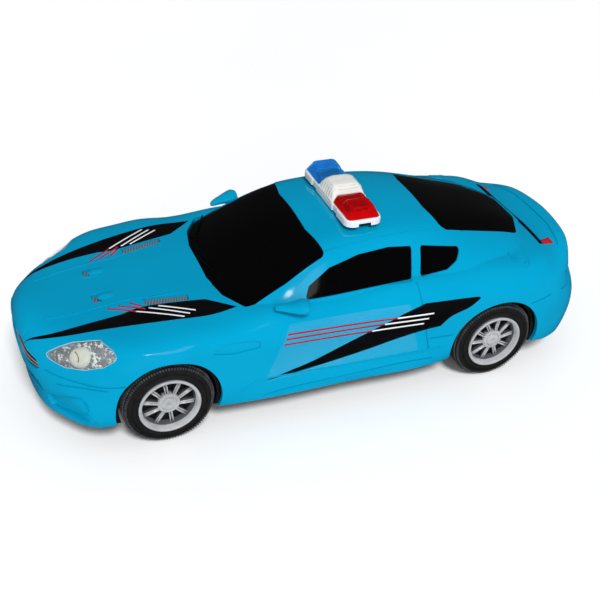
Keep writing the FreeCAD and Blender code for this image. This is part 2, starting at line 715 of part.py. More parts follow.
grooves = []
line_shares = (door_line_shares, door_rear_shares, bumper_line_shares, bumper_fold_shares,
               waist_line_shares, tail_line_shares, sill_top_shares, sill_low_shares)
for shares in line_shares:
    band = curve_band(sized(shares), groove_width, lambda a, b: vec(a, side_low, b))
    grooves.extend(both_sides(band.extrude(vec(0, half_width, 0))))
cap_x = wheel_mid_x + grid_length * cap_place_shares[0]
cap_z = grid_length * cap_place_shares[1]
ring = cyl_y(cap_x, cap_z, fuel_cap_radius, side_low, half_width)
ring = ring.cut(cyl_y(cap_x, cap_z, fuel_cap_radius - groove_width, 0, big))
grooves.extend(both_sides(ring))
groove_cut = groove_band.common(Part.makeCompound(grooves))
body = body.cut(groove_cut)


def pocket(prism, depth):
    """What a prism takes off the skin down to an even depth."""
    floor = closed_under(skin(drop_lower_row(inset_grid(outer_grid, outer_skin, depth), inner_drop), 3))
    return prism.cut(floor)


scoop_prism = front_prism(plain_sized(scoop_shares), scoop_corner, nose_back_x, nose_front_x)
strake_prism = side_prism(sized(strake_shares), strake_corner, half_width / 2, 2 * half_width)
tail_prism = side_prism(sized(tail_lamp_shares), tail_lamp_corner, half_width / 2, 2 * half_width)
lid_prism = plan_prism(sized(lid_shares), lid_corner, 2 * axle_height, grid_length)
for prism, depth in ((scoop_prism, scoop_depth), (strake_prism, strake_depth), (tail_prism, tail_lamp_depth)):
    for shape in both_sides(pocket(prism, depth)):
        body = body.cut(shape)
body = body.cut(pocket(lid_prism, lid_depth))

# small humps behind the hood vents


def ellipsoid(centre, half_x, half_y, half_z):
    ball = Part.makeSphere(half_x)
    matrix = FreeCAD.Matrix()
    matrix.scale(1.0, half_y / half_x, half_z / half_x)
    ball = ball.transformGeometry(matrix)
    ball.translate(centre)
    return ball


hump_centre = vec(wheel_mid_x + grid_length * hump_share[0], grid_length * hump_share[1],
                  grid_length * hump_share[2])
hump = ellipsoid(hump_centre, hump_half_length, hump_half_width, hump_half_height).cut(lamp_inner)
body = body.multiFuse(both_sides(hump))

# screw posts moulded into the body
base_low = ground_clear + base_recess
base_high = base_low + base_thick
posts = []
for a, b in post_shares:
    for side in (1, -1):
        x = wheel_mid_x + grid_length * a
        post = cyl_z(x, side * grid_length * b, post_radius, base_high, grid_length)
        posts.append(post.common(lamp_inner))
body = body.multiFuse(posts)
for a, b in post_shares:
    for side in (1, -1):
        x = wheel_mid_x + grid_length * a
        body = body.cut(cyl_z(x, side * grid_length * b, post_bore, 0, base_high * 2))

# base plate with wheel wells, axle bearings and screw seats
plate_outer = closed_under(skin(drop_lower_row(
    inset_grid(outer_grid, outer_skin, wall + base_inset), inner_drop), 3))
plate = plate_outer.common(box(-big, big, -big, big, base_low, base_high))
well_radius = arch_radius - well_gap
well_half = well_radius - well_wall
bearing = axle_rod_radius + axle_play
pieces = [plate]
for axle_x in (front_axle_x, rear_axle_x):
    bridge = box(axle_x - well_half, axle_x + well_half, -well_inner_y - well_wall,
                 well_inner_y + well_wall, base_low, base_high)
    pieces[0] = pieces[0].fuse(bridge)
for axle_x in (front_axle_x, rear_axle_x):
    for side in (1, -1):
        y0, y1 = sorted((side * (well_inner_y + well_wall), side * big))
        pieces[0] = pieces[0].cut(box(axle_x - well_half, axle_x + well_half, y0, y1, 0, grid_length))
well_outer_y = half_width - 2 * wall
tub_room = box(-big, big, 0, big, base_low, big).common(plate_outer)
for axle_x in (front_axle_x, rear_axle_x):
    tub = cyl_y(axle_x, axle_height, well_radius, well_inner_y, well_outer_y)
    tub = tub.cut(cyl_y(axle_x, axle_height, well_radius - well_wall, well_inner_y + well_wall, big))
    tub = tub.common(tub_room)
    saddle = box(axle_x - saddle_length / 2, axle_x + saddle_length / 2, saddle_y - saddle_width / 2,
                 saddle_y + saddle_width / 2, base_low, axle_height + saddle_top)
    for shape in (tub, saddle):
        pieces.extend(both_sides(shape))
base = fused(pieces)
for axle_x in (front_axle_x, rear_axle_x):
    base = base.cut(cyl_y(axle_x, axle_height, bearing, -half_width, half_width))
screws = []
for a, b in post_shares:
    for side in (1, -1):
        x = wheel_mid_x + grid_length * a
        y = side * grid_length * b
        base = base.cut(cyl_z(x, y, screw_head, 0, base_low + screw_seat))
        base = base.cut(cyl_z(x, y, post_bore, 0, base_high))
        head = cyl_z(x, y, screw_head - base_inset, base_low, base_low + screw_seat)
        shank = cyl_z(x, y, post_bore, base_low + screw_seat, base_high * 2)
        screws.append(head.fuse(shank))


# wheels
def revolved(profile):
    """Solid of revolution about the Y axis from (y, radius) pairs."""
    points = [vec(0, y, r) for y, r in profile]
    wire = Part.makePolygon(points + [points[0]])
    return Part.Face(wire).revolve(vec(0, 0, 0), along_y, 360)


def tyre():
    y1 = tyre_edge_y
    y0 = tyre_edge_y - tyre_width
    s = tyre_shoulder
    bulge = s / 3
    return revolved(((y0 + s, tyre_radius), (y1 - s, tyre_radius), (y1 - s / 3, tyre_radius - s / 3),
                     (y1 + bulge, tyre_radius - s), (y1 + bulge, rim_radius + s), (y1, rim_radius),
                     (y0, rim_radius), (y0 - bulge, rim_radius + s), (y0 - bulge, tyre_radius - s),
                     (y0 + s / 3, tyre_radius - s / 3)))


def rim():
    """Deep dished rim: barrel with a lip, back disc, hub with a cap and lugs, and slim spokes."""
    y1 = rim_face_y
    lip = rim_lip
    disc_front = y1 - pocket_depth
    hub_face = y1 - hub_drop
    barrel = revolved(((rim_back_y, rim_radius), (tyre_edge_y, rim_radius),
                       (y1 - lip / 2, rim_radius + lip / 2), (y1, rim_radius),
                       (y1 - lip / 3, rim_bore + lip / 4), (y1 - 2 * lip, rim_bore),
                       (rim_back_y, rim_bore)))
    disc = cyl_y(0, 0, (rim_radius + rim_bore) / 2, disc_front - disc_depth, disc_front)
    hub = revolved(((disc_front - disc_depth / 2, 0), (hub_face + cap_rise, 0),
                    (hub_face + cap_rise, cap_radius), (hub_face, cap_radius + lip / 4),
                    (hub_face, hub_radius - lip / 3), (hub_face - lip / 2, hub_radius),
                    (disc_front - disc_depth / 2, hub_radius)))
    solids = [barrel, disc, hub]
    tip = (rim_radius + rim_bore) / 2
    half = spoke_width / 2
    for k in range(spoke_count):
        outline = [vec(-half, y1 - spoke_root_drop, hub_radius / 2), vec(-half, y1 - spoke_tip_drop, tip),
                   vec(-half, y1 - spoke_tip_drop - spoke_depth, tip),
                   vec(-half, y1 - spoke_root_drop - spoke_depth, hub_radius / 2)]
        wire = Part.makePolygon(outline + [outline[0]])
        spoke = Part.Face(wire).extrude(vec(spoke_width, 0, 0))
        spoke.rotate(vec(0, 0, 0), along_y, 360 * k / spoke_count)
        solids.append(spoke)
    lug_ring = (cap_radius + hub_radius) / 2
    for k in range(lug_count):
        lug = cyl_y(0, lug_ring, lug_radius, hub_face - lip, hub_face + lug_rise)
        lug.rotate(vec(0, 0, 0), along_y, 360 * k / lug_count)
        solids.append(lug)
    return fused(solids).cut(cyl_y(0, 0, axle_rod_radius, -half_width, axle_half_length))


def placed(shape, x, turn=0):
    moved = shape.copy()
    moved.rotate(vec(0, 0, 0), along_y, turn)
    moved.translate(vec(x, 0, axle_height))
    return moved


tyre_left = tyre()
rim_left = rim()
parts = {}
for name, axle_x, turn in (("front", front_axle_x, front_turn), ("rear", rear_axle_x, rear_turn)):
    parts["axle_" + name] = cyl_y(axle_x, axle_height, axle_rod_radius, -axle_half_length, axle_half_length)
    parts["tyre_" + name + "_left"] = placed(tyre_left, axle_x)
    parts["tyre_" + name + "_right"] = mirror_y(placed(tyre_left, axle_x))
    parts["rim_" + name + "_left"] = placed(rim_left, axle_x, turn)
    parts["rim_" + name + "_right"] = mirror_y(placed(rim_left, axle_x, turn))

# light bar on the roof
bar_mid_x = wheel_mid_x - bar_setback


def bar_outline(half_x, y0, y1, shrink=0.0):
    return [(bar_mid_x + half_x - shrink, y1 - shrink), (bar_mid_x - half_x + shrink, y1 - shrink),
            (bar_mid_x - half_x + shrink, y0 + shrink), (bar_mid_x + half_x - shrink, y0 + shrink)]


def bar_plan(half_x, y0, y1, z0, z1, corner):
    return plan_prism(bar_outline(half_x, y0, y1), corner, z0, z1)


def bar_loft(half_x, y0, y1, z0, z1, corner, slope):
    wires = []
    for z, shrink in ((z0, 0.0), (z1, slope)):
        wires.append(rounded_wire(bar_outline(half_x, y0, y1, shrink), corner,
                                  lambda a, b: vec(a, b, z)))
    solid = Part.makeLoft(wires, True, True)
    top = [e for e in solid.Edges if e.BoundBox.ZMin > z1 - wall / grid_length]
    return solid.makeFillet(slope / 2, top)


bar_base = bar_plan(bar_half_width, -bar_half_length, bar_half_length, bar_skirt_low, bar_deck, bar_corner)
for side in (1, -1):
    y0, y1 = sorted((side * (bar_half_length - 2 * notch_depth), side * big))
    bar_base = bar_base.cut(box(bar_mid_x - notch_half, bar_mid_x + notch_half, y0, y1,
                                bar_skirt_low, bar_deck - 2 * notch_depth))
foot = bar_plan(bar_half_width - bar_foot_inset, -bar_half_length + 2 * bar_foot_inset,
                bar_half_length - 2 * bar_foot_inset, bar_foot_low, bar_skirt_low, bar_corner / 2)
bar_base = bar_base.fuse(foot).cut(roof_outer)
parts["lightbar_base"] = bar_base
lens_half = bar_half_width - dome_inset
lens_end = bar_half_length - dome_inset
lens = bar_loft(lens_half, bar_saddle_y - dome_slope, lens_end, bar_deck, bar_top, dome_corner, dome_slope)
saddle_lens = bar_loft(lens_half, bar_mid_half + glass_gap - dome_slope, bar_saddle_y + dome_slope, bar_deck,
                       bar_saddle_top, dome_corner, dome_slope * 2 / 3)
lens = lens.fuse(saddle_lens).cut(box(-big, big, -big, bar_mid_half + glass_gap, 0, big))
parts["lens_red"] = lens
parts["lens_blue"] = mirror_y(lens)
cover = bar_loft(lens_half + dome_inset / 2, -bar_mid_half, bar_mid_half, bar_deck, bar_mid_top,
                 dome_corner / 2, bar_mid_slope)
for k in range(slot_count):
    y = (k - (slot_count - 1) / 2) * slot_pitch
    for side in (1, -1):
        slot_end = bar_mid_x + side * (bar_half_width - slot_depth)
        x0, x1 = sorted((slot_end, bar_mid_x + side * 2 * bar_half_width))
        slot = box(x0, x1, y - slot_width / 2, y + slot_width / 2, bar_deck + slot_width, bar_mid_top)
        cover = cover.cut(slot)
parts["lightbar_cover"] = cover

# door mirrors: a horn that grows out of the door's shoulder to a blunt head


def mirror_ring(x_share, y_share, z_share, half_y_share, half_z_share):
    """Closed oval across the car, as one smooth periodic curve."""
    points = []
    for k in range(oval_points):
        angle = 2 * math.pi * k / oval_points
        points.append(vec(wheel_mid_x + grid_length * x_share,
                          grid_length * (y_share + half_y_share * math.cos(angle)),
                          grid_length * (z_share + half_z_share * math.sin(angle))))
    curve = Part.BSplineCurve()
    curve.interpolate(points, PeriodicFlag=True)
    return Part.Wire([curve.toShape()])


pod = Part.makeLoft([mirror_ring(*row) for row in mirror_section_shares], True)
parts["mirror_left"] = pod.cut(outer)
parts["mirror_right"] = mirror_y(parts["mirror_left"])

parts["body_shell"] = body
parts["base_plate"] = base
parts["screws"] = Part.makeCompound(screws)
parts["windscreen"] = windscreen
parts["rear_window"] = rear_glass
for name, shape in glass_parts.items():
    parts[name + "_glass_left"] = shape
    parts[name + "_glass_right"] = mirror_y(shape)
parts["grille"] = grille
parts["lower_intake"] = intake
parts["hood_vents"] = Part.makeCompound(vents)
for name, shape in (("headlamp", lamp_left), ("reflector", reflector_left), ("lamp_bulb", bulb_left)):
    parts[name + "_left"] = shape
    parts[name + "_right"] = mirror_y(shape)

os.makedirs("parts", exist_ok=True)
for name, shape in parts.items():
    shape.exportStep(os.path.join("parts", name + ".step"))
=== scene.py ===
"""Looks of a moulded toy police patrol car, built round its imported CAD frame.

X points to the nose, Y to the car's left and Z up, with the ground at zero. Sizes are written in
millimetres and turned into Blender's metres where a mesh is made.
"""

import json
import logging
import math
import random
from collections import Counter
from dataclasses import dataclass
from enum import Enum
from typing import Iterable, Optional, Sequence, Union

import bmesh
import bpy
from mathutils import Matrix, Vector
from mathutils.bvhtree import BVHTree
from mathutils.geometry import delaunay_2d_cdt, intersect_point_tri_2d
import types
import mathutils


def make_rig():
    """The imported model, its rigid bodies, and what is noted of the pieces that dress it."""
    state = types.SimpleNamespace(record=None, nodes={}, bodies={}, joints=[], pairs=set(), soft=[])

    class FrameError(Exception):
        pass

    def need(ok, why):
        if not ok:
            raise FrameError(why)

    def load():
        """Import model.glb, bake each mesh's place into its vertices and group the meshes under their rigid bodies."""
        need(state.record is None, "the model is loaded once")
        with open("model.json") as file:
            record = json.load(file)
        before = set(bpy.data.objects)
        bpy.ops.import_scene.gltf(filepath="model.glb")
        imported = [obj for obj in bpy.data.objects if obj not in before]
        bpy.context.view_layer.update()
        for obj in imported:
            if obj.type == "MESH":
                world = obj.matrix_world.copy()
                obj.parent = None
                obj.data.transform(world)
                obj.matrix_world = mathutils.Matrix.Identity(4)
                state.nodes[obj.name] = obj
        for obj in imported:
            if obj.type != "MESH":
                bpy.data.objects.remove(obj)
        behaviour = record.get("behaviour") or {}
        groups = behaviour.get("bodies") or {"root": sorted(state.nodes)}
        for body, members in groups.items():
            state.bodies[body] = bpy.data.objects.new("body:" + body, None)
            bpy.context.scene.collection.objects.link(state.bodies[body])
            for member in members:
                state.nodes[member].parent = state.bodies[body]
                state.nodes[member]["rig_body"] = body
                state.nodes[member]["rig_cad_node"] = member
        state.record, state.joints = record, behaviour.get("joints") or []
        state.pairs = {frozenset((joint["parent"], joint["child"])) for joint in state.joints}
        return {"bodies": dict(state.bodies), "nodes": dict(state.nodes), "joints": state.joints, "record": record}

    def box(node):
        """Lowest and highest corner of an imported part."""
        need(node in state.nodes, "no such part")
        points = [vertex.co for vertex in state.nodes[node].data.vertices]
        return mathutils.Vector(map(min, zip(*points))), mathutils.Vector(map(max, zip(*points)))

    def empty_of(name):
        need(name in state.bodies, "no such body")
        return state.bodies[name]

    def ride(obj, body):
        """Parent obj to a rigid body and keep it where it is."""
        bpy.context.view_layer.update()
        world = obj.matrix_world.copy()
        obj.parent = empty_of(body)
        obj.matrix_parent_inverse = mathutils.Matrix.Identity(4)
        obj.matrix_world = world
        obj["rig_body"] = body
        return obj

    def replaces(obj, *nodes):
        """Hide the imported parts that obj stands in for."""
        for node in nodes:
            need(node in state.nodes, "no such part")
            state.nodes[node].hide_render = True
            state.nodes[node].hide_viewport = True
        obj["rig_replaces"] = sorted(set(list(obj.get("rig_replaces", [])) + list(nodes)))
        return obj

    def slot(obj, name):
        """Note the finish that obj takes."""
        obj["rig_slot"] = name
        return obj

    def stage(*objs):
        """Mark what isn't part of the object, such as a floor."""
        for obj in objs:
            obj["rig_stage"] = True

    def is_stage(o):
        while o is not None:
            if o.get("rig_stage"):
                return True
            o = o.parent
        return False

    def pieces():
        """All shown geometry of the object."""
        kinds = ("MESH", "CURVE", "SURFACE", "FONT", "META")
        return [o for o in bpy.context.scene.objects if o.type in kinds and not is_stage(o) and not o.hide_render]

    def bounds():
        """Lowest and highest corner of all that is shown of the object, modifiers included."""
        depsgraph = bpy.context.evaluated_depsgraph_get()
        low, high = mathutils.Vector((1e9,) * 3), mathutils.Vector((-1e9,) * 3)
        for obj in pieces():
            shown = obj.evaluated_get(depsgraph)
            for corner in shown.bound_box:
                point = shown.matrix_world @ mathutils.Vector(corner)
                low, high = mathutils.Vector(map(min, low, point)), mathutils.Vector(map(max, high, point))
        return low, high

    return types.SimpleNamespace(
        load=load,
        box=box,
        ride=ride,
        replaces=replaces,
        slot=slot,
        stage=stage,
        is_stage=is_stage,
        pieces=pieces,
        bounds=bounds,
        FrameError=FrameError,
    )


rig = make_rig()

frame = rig.load()

LOG = logging.getLogger("patrol_car")
MM = 0.001
BODY = "body"
SIDES = ((1, "left"), (-1, "right"))
SQUARE = ((-1, -1), (1, -1), (1, 1), (-1, 1))
OUTSIDE = 200.0  # how far from the car's middle a ray onto it starts
ABOVE = 40.0  # how far in front of a form on the car a ray onto it starts
MERGE = 1e-7  # the distance in metres under which two corners are one
Pair = tuple[float, float]
Triple = tuple[float, float, float]
Run = tuple[Pair, ...]
Ray = tuple[Vector, Vector]
Picks = Union[int, Sequence[int]]
Socket = bpy.types.NodeSocket
Material = bpy.types.Material


# shader helpers


def linear(code: str) -> tuple[float, float, float, float]:
    """Turns an sRGB hex colour into the linear colour a shader takes.

    Args:
        code: the colour as "#rrggbb".

    Returns:
        Linear red, green, blue and a full alpha.
    """
    levels = [int(code[at:at + 2], 16) / 255 for at in (1, 3, 5)]
    curve = [v / 12.92 if v <= 0.04045 else ((v + 0.055) / 1.055) ** 2.4 for v in levels]
    return (curve[0], curve[1], curve[2], 1.0)


def add_node(tree: bpy.types.NodeTree, kind: str, inputs: Optional[dict] = None,
             operation: str = "") -> bpy.types.Node:
    """Adds a node, and sets or links its inputs.

    Args:
        tree: the node tree that takes the node.
        kind: the node's type name.
        inputs: a value or an output socket for each input, by name or number.
        operation: what a math node works out.

    Returns:
        The new node.
    """
    node = tree.nodes.new(kind)
    if operation:
        node.operation = operation
    for key, value in (inputs or {}).items():
        if isinstance(value, Socket):
            tree.links.new(value, node.inputs[key])
        else:
            node.inputs[key].default_value = value
    return node


class Shader:
    """A material under construction, with the nodes that most finishes share."""

    def __init__(self, name: str) -> None:
        """Starts an empty material.

        Args:
            name: its name.
        """
        self.material = bpy.data.materials.new(name)
        self.material.use_nodes = True
        self.tree = self.material.node_tree
        self.tree.nodes.clear()
        self.place = self.node("ShaderNodeTexCoord").outputs["Object"]

    def node(self, kind: str, inputs: Optional[dict] = None, operation: str = "") -> bpy.types.Node:
        """Adds a node to this material; see add_node."""
        return add_node(self.tree, kind, inputs, operation)

    def noise(self, size_mm: float, detail: float, stretch: Triple = (1, 1, 1)) -> Socket:
        """A noise whose patches are about as large as asked.

        Args:
            size_mm: the size of one patch in millimetres.
            detail: how many finer layers it has.
            stretch: a scale along each axis.

        Returns:
            The noise's value.
        """
        moved = self.node("ShaderNodeMapping", {"Vector": self.place, "Scale": stretch})
        return self.node("ShaderNodeTexNoise", {
            "Vector": moved.outputs["Vector"], "Scale": 1 / (size_mm * MM),
            "Detail": detail}).outputs["Fac"]

    def blend(self, share: Socket, low: str, high: str, ends: Pair) -> Socket:
        """A colour that runs from one tone to another as a value rises.

        Args:
            share: the value.
            low: the colour at the low end, as hex.
            high: the colour at the high end, as hex.
            ends: the values where the run starts and ends.

        Returns:
            The colour.
        """
        ramp = self.node("ShaderNodeValToRGB", {"Fac": share})
        for stop, place, code in zip(ramp.color_ramp.elements, ends, (low, high)):
            stop.position, stop.color = place, linear(code)
        return ramp.outputs["Color"]

    def surface(self, height: Socket, depth_mm: float, inputs: dict) -> Material:
        """Closes the material with a bumped surface shader.

        Args:
            height: the bump's height from nought to one.
            depth_mm: how deep the full height is, in millimetres.
            inputs: the surface's other inputs by name.

        Returns:
            The finished material.
        """
        bump = self.node("ShaderNodeBump", {
            "Height": height, "Distance": depth_mm * MM, "Strength": 1.0}).outputs["Normal"]
        shader = self.node("ShaderNodeBsdfPrincipled", {"Normal": bump, **inputs})
        self.node("ShaderNodeOutputMaterial", {"Surface": shader.outputs["BSDF"]})
        return self.material


# finishes


@dataclass(frozen=True)
class Coat:
    """A surface whose colour and dullness drift in soft patches, over a fine grain.

    Attributes:
        name: the material's name.
        colour: the main colour.
        shade: the colour of the patches.
        roughness: how dull the shine is.
        patch_mm: the size of the patches.
        grain_mm: the size of the grain.
        grain_depth_mm: the depth of the grain.
        level: how far it has its kind's own quality, from nought to one.
        stretch: the grain's scale along each axis.
        quality: the shader input that the level sets.
        refraction: how strongly it bends light.
        dull: how far the roughness falls and rises over the patches, as shares of it.
        ramp: the values between which the patches' colour runs.
        details: how many finer layers the patches and the grain have.
        patch_stretch: the patches' scale along each axis.
        haze_mm: the size of the dull patches, where they aren't those of the colour.
    """

    name: str
    colour: str
    shade: str
    roughness: float = 0.3
    patch_mm: float = 30.0
    grain_mm: float = 1.6
    grain_depth_mm: float = 0.004
    level: float = 0.5
    stretch: Triple = (1, 1, 1)
    quality: str = "Specular IOR Level"
    refraction: float = 1.5
    dull: Pair = (0.85, 1.15)
    ramp: Pair = (0.35, 0.65)
    details: Pair = (2.0, 2.0)
    patch_stretch: Triple = (1, 1, 1)
    haze_mm: float = 0.0

    def build(self) -> Material:
        """Returns the finished material."""
        shader = Shader(self.name)
        patch = shader.noise(self.patch_mm, self.details[0], self.patch_stretch)
        haze = shader.noise(self.haze_mm, self.details[1]) if self.haze_mm else patch
        low, high = (self.roughness * share for share in self.dull)
        dulled = shader.node("ShaderNodeMapRange", {"Value": haze, "To Min": low, "To Max": high})
        grain = shader.noise(self.grain_mm, self.details[1], self.stretch)
        return shader.surface(grain, self.grain_depth_mm, {
            "Base Color": shader.blend(patch, self.shade, self.colour, self.ramp),
            "Roughness": dulled.outputs["Result"], "IOR": self.refraction,
            self.quality: self.level})


@dataclass(frozen=True)
class Plastic(Coat):
    """Injection-moulded plastic with faint flow marks along the car; its level is its gloss."""

    patch_stretch: Triple = (0.5, 1, 1)


@dataclass(frozen=True)
class Glazing(Coat):
    """Gloss black plastic that stands for dark glass, with fine dust on it."""

    colour: str = "#2c2d30"
    shade: str = "#020203"
    roughness: float = 0.07
    patch_mm: float = 0.5
    grain_mm: float = 25.0
    grain_depth_mm: float = 0.02
    dull: Pair = (0.7, 1.6)
    ramp: Pair = (0.76, 0.82)
    details: Pair = (1.0, 2.0)
    haze_mm: float = 25.0


@dataclass(frozen=True)
class Rubber(Coat):
    """Soft tyre plastic with a matt, faintly mottled skin."""

    roughness: float = 0.55
    patch_mm: float = 3.0
    grain_mm: float = 0.35
    grain_depth_mm: float = 0.02
    dull: Pair = (0.8, 1.2)
    details: Pair = (4.0, 3.0)


@dataclass(frozen=True)
class Metal(Coat):
    """A metal surface, from a foil to a drawn rod; its level is how far it isn't silver paint."""

    patch_mm: float = 6.0
    grain_mm: float = 1.0
    level: float = 1.0
    quality: str = "Metallic"
    dull: Pair = (0.8, 1.3)
    details: Pair = (2.0, 3.0)


@dataclass(frozen=True)
class ClearPlastic(Coat):
    """Transparent plastic, tinted through and through; its level is the light it lets through."""

    roughness: float = 0.05
    patch_mm: float = 7.0
    grain_mm: float = 7.0
    grain_depth_mm: float = 0.02
    quality: str = "Transmission Weight"
    refraction: float = 1.49
    dull: Pair = (0.7, 1.4)


@dataclass(frozen=True)
class ClearFilm(Coat):
    """A thin clear film, seen only by its shine and its edge; its level is how solid it looks."""

    roughness: float = 0.16
    patch_mm: float = 12.0
    grain_depth_mm: float = 0.0
    quality: str = "Alpha"
    dull: Pair = (0.75, 1.25)


@dataclass(frozen=True)
class PressedMesh:
    """Plastic pressed with a fine diamond mesh.

    Attributes:
        name: the material's name.
        bar: the colour of the bars.
        hole: the colour between them.
        pitch_mm: the mesh's pitch.
        lines: the wave texture's scale for a pitch of one.
        ramp: the heights between which a hole turns into a bar.
        depth_mm: how deep the mesh is pressed.
        roughness: how dull the shine is.
        slant: how far each set of bars is turned about every axis, in degrees.
    """

    name: str
    bar: str
    hole: str
    pitch_mm: float
    lines: float = 0.31
    ramp: Pair = (0.6, 0.85)
    depth_mm: float = 0.15
    roughness: float = 0.4
    slant: Pair = (45.0, -45.0)

    def build(self) -> Material:
        """Returns the finished material."""
        shader = Shader(self.name)
        waves = {}
        for number, turn in enumerate(self.slant):
            moved = shader.node("ShaderNodeMapping", {
                "Vector": shader.place, "Rotation": [math.radians(turn)] * 3})
            waves[number] = shader.node("ShaderNodeTexWave", {
                "Vector": moved.outputs["Vector"],
                "Scale": self.lines / (self.pitch_mm * MM)}).outputs["Fac"]
        net = shader.node("ShaderNodeMath", waves, "MAXIMUM").outputs[0]
        return shader.surface(net, self.depth_mm, {
            "Base Color": shader.blend(net, self.hole, self.bar, self.ramp),
            "Roughness": self.roughness})


class Finish(Enum):
    """Every finish on the car, named for the real material and, where it paints light or shade, for that too."""

    BODY_BLUE = Plastic("gloss_blue_abs", "#0092ba", "#008db5", 0.1, 40.0, 2.5, level=0.42)
    WINDOW = Glazing("gloss_black_glazing_plastic")
    # also used as painted shade: the screw slots' filling and, in part, the light-bar tray's foot
    TYRE = Rubber("soft_black_tyre_plastic_and_painted_shade", "#1c1c1d", "#151516")
    # painted highlight: the tread blocks are a lighter grey than the tyre, standing for the light they catch
    TREAD = Rubber("tread_block_plastic_painted_highlight", "#505052", "#3a3a3c", 0.42)
    RIM = Metal("satin_silver_rim_paint", "#cdcfd2", "#bcbec1", 0.22, level=0.35)
    # painted shade: a darker copy of the rim's silver for its recessed faces
    RIM_SHADE = Metal("dull_grey_rim_paint", "#5d5f62", "#505255", 0.4, level=0.2)
    STEEL = Metal("drawn_steel_rod", "#a9abae", "#8f9195", 0.3, 6.0, 0.25, 0.006,
                  stretch=(1, 0.05, 1))
    FOIL = Metal("silver_foil_reflector", "#f0f0ee", "#d8d8d4", 0.14, 6.0, 0.7, 0.03, 0.3)
    # painted reflection: grey and dark copies of the silver foil stand for facets that reflect darker parts of the
    # room; the grey one also paints the highlight crescent on the lamp dome
    FOIL_PAINTED_GREY = Metal("silver_foil_painted_grey_reflection", "#878786", "#6e6e6c", 0.16, 6.0, 0.7, 0.03, 0.5)
    FOIL_PAINTED_DARK = Metal("silver_foil_painted_dark_reflection", "#3d3c3e", "#302f31", 0.16, 6.0, 0.7, 0.03, 0.6)
    BASE = Plastic("black_grained_base_plastic", "#17181a", "#101113", 0.55, 20.0, 0.5, 0.03)
    TRAY = Plastic("gloss_white_tray_plastic", "#d9dcdf", "#d0d3d6", 0.28, 12.0, 1.2, 0.006)
    RED_LENS = ClearPlastic("clear_red_lens_plastic", "#f8141c", "#ee0c14", level=0.82)
    BLUE_LENS = ClearPlastic("clear_blue_lens_plastic", "#3cb0fa", "#30a4f2", level=0.8)
    LAMP_COVER = ClearFilm("clear_lamp_cover_plastic", "#e6f5fb", "#c9d0cf", level=0.1)
    BULB = Plastic("cream_lamp_dome_plastic", "#c3c5b6", "#b4b6a6", 0.3, 6.0, 0.8, 0.01)
    INSERT = PressedMesh("pressed_grey_mesh_plastic", "#75808a", "#3a434b", 0.6)
    GRILLE = PressedMesh("dark_grille_mesh_plastic", "#2e3034", "#0b0c0e", 1.3)
    PANEL = Plastic("silver_grey_panel_plastic", "#8e98a6", "#828c9a", 0.3, 9.0)
    # painted highlight: the pale colour of the bead along each lamp cover's edge
    LAMP_EDGE = Plastic("lamp_edge_painted_highlight", "#b4cdd6", "#9fbcc6", 0.2, 3.0)
    COVER = Plastic("milky_white_cover_plastic", "#dcdcd9", "#d2d2ce", 0.25, 5.0, 1.2, 0.006)
    LED_BLOCK = Plastic("dark_lamp_socket_plastic", "#1c0608", "#120405", 0.4, 4.0)
    VINYL_BLACK = Plastic("black_sticker_vinyl", "#0a0a0c", "#060608", 0.22, 8.0, 0.7, 0.003, 0.3)
    VINYL_WHITE = Plastic("white_sticker_vinyl", "#e9ebed", "#dfe2e5", 0.25, 8.0, 0.7, 0.003)
    VINYL_RED = Plastic("red_sticker_vinyl", "#b0202c", "#9c1a26", 0.25, 8.0, 0.7, 0.003)
    VINYL_CLEAR = ClearFilm("clear_sticker_film", "#e6f5fb", "#bfe6f4", level=0.03)
    FLOOR = Plastic("pale_studio_floor", "#ffffff", "#fdfdfd", 0.6, 300.0, 3.0, 0.0)

    def material(self) -> Material:
        """Returns this finish's material, which is built once."""
        return bpy.data.materials.get(self.value.name) or self.value.build()


# mesh helpers


def link(thing: bpy.types.Object) -> None:
    """Puts an object in the scene."""
    bpy.context.scene.collection.objects.link(thing)


def hand_over(piece: bpy.types.Object, slot: str, node: str, body: str) -> None:
    """Puts a piece in the scene and tells the frame what it is.

    Args:
        piece: the piece.
        slot: the record's material slot that it shows, or "" for none.
        node: the CAD node that it replaces, or "" for none.
        body: the CAD body that it rides on.
    """
    link(piece)
    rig.ride(piece, body)
    if node:
        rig.replaces(piece, node)
    if slot:
        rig.slot(piece, slot)


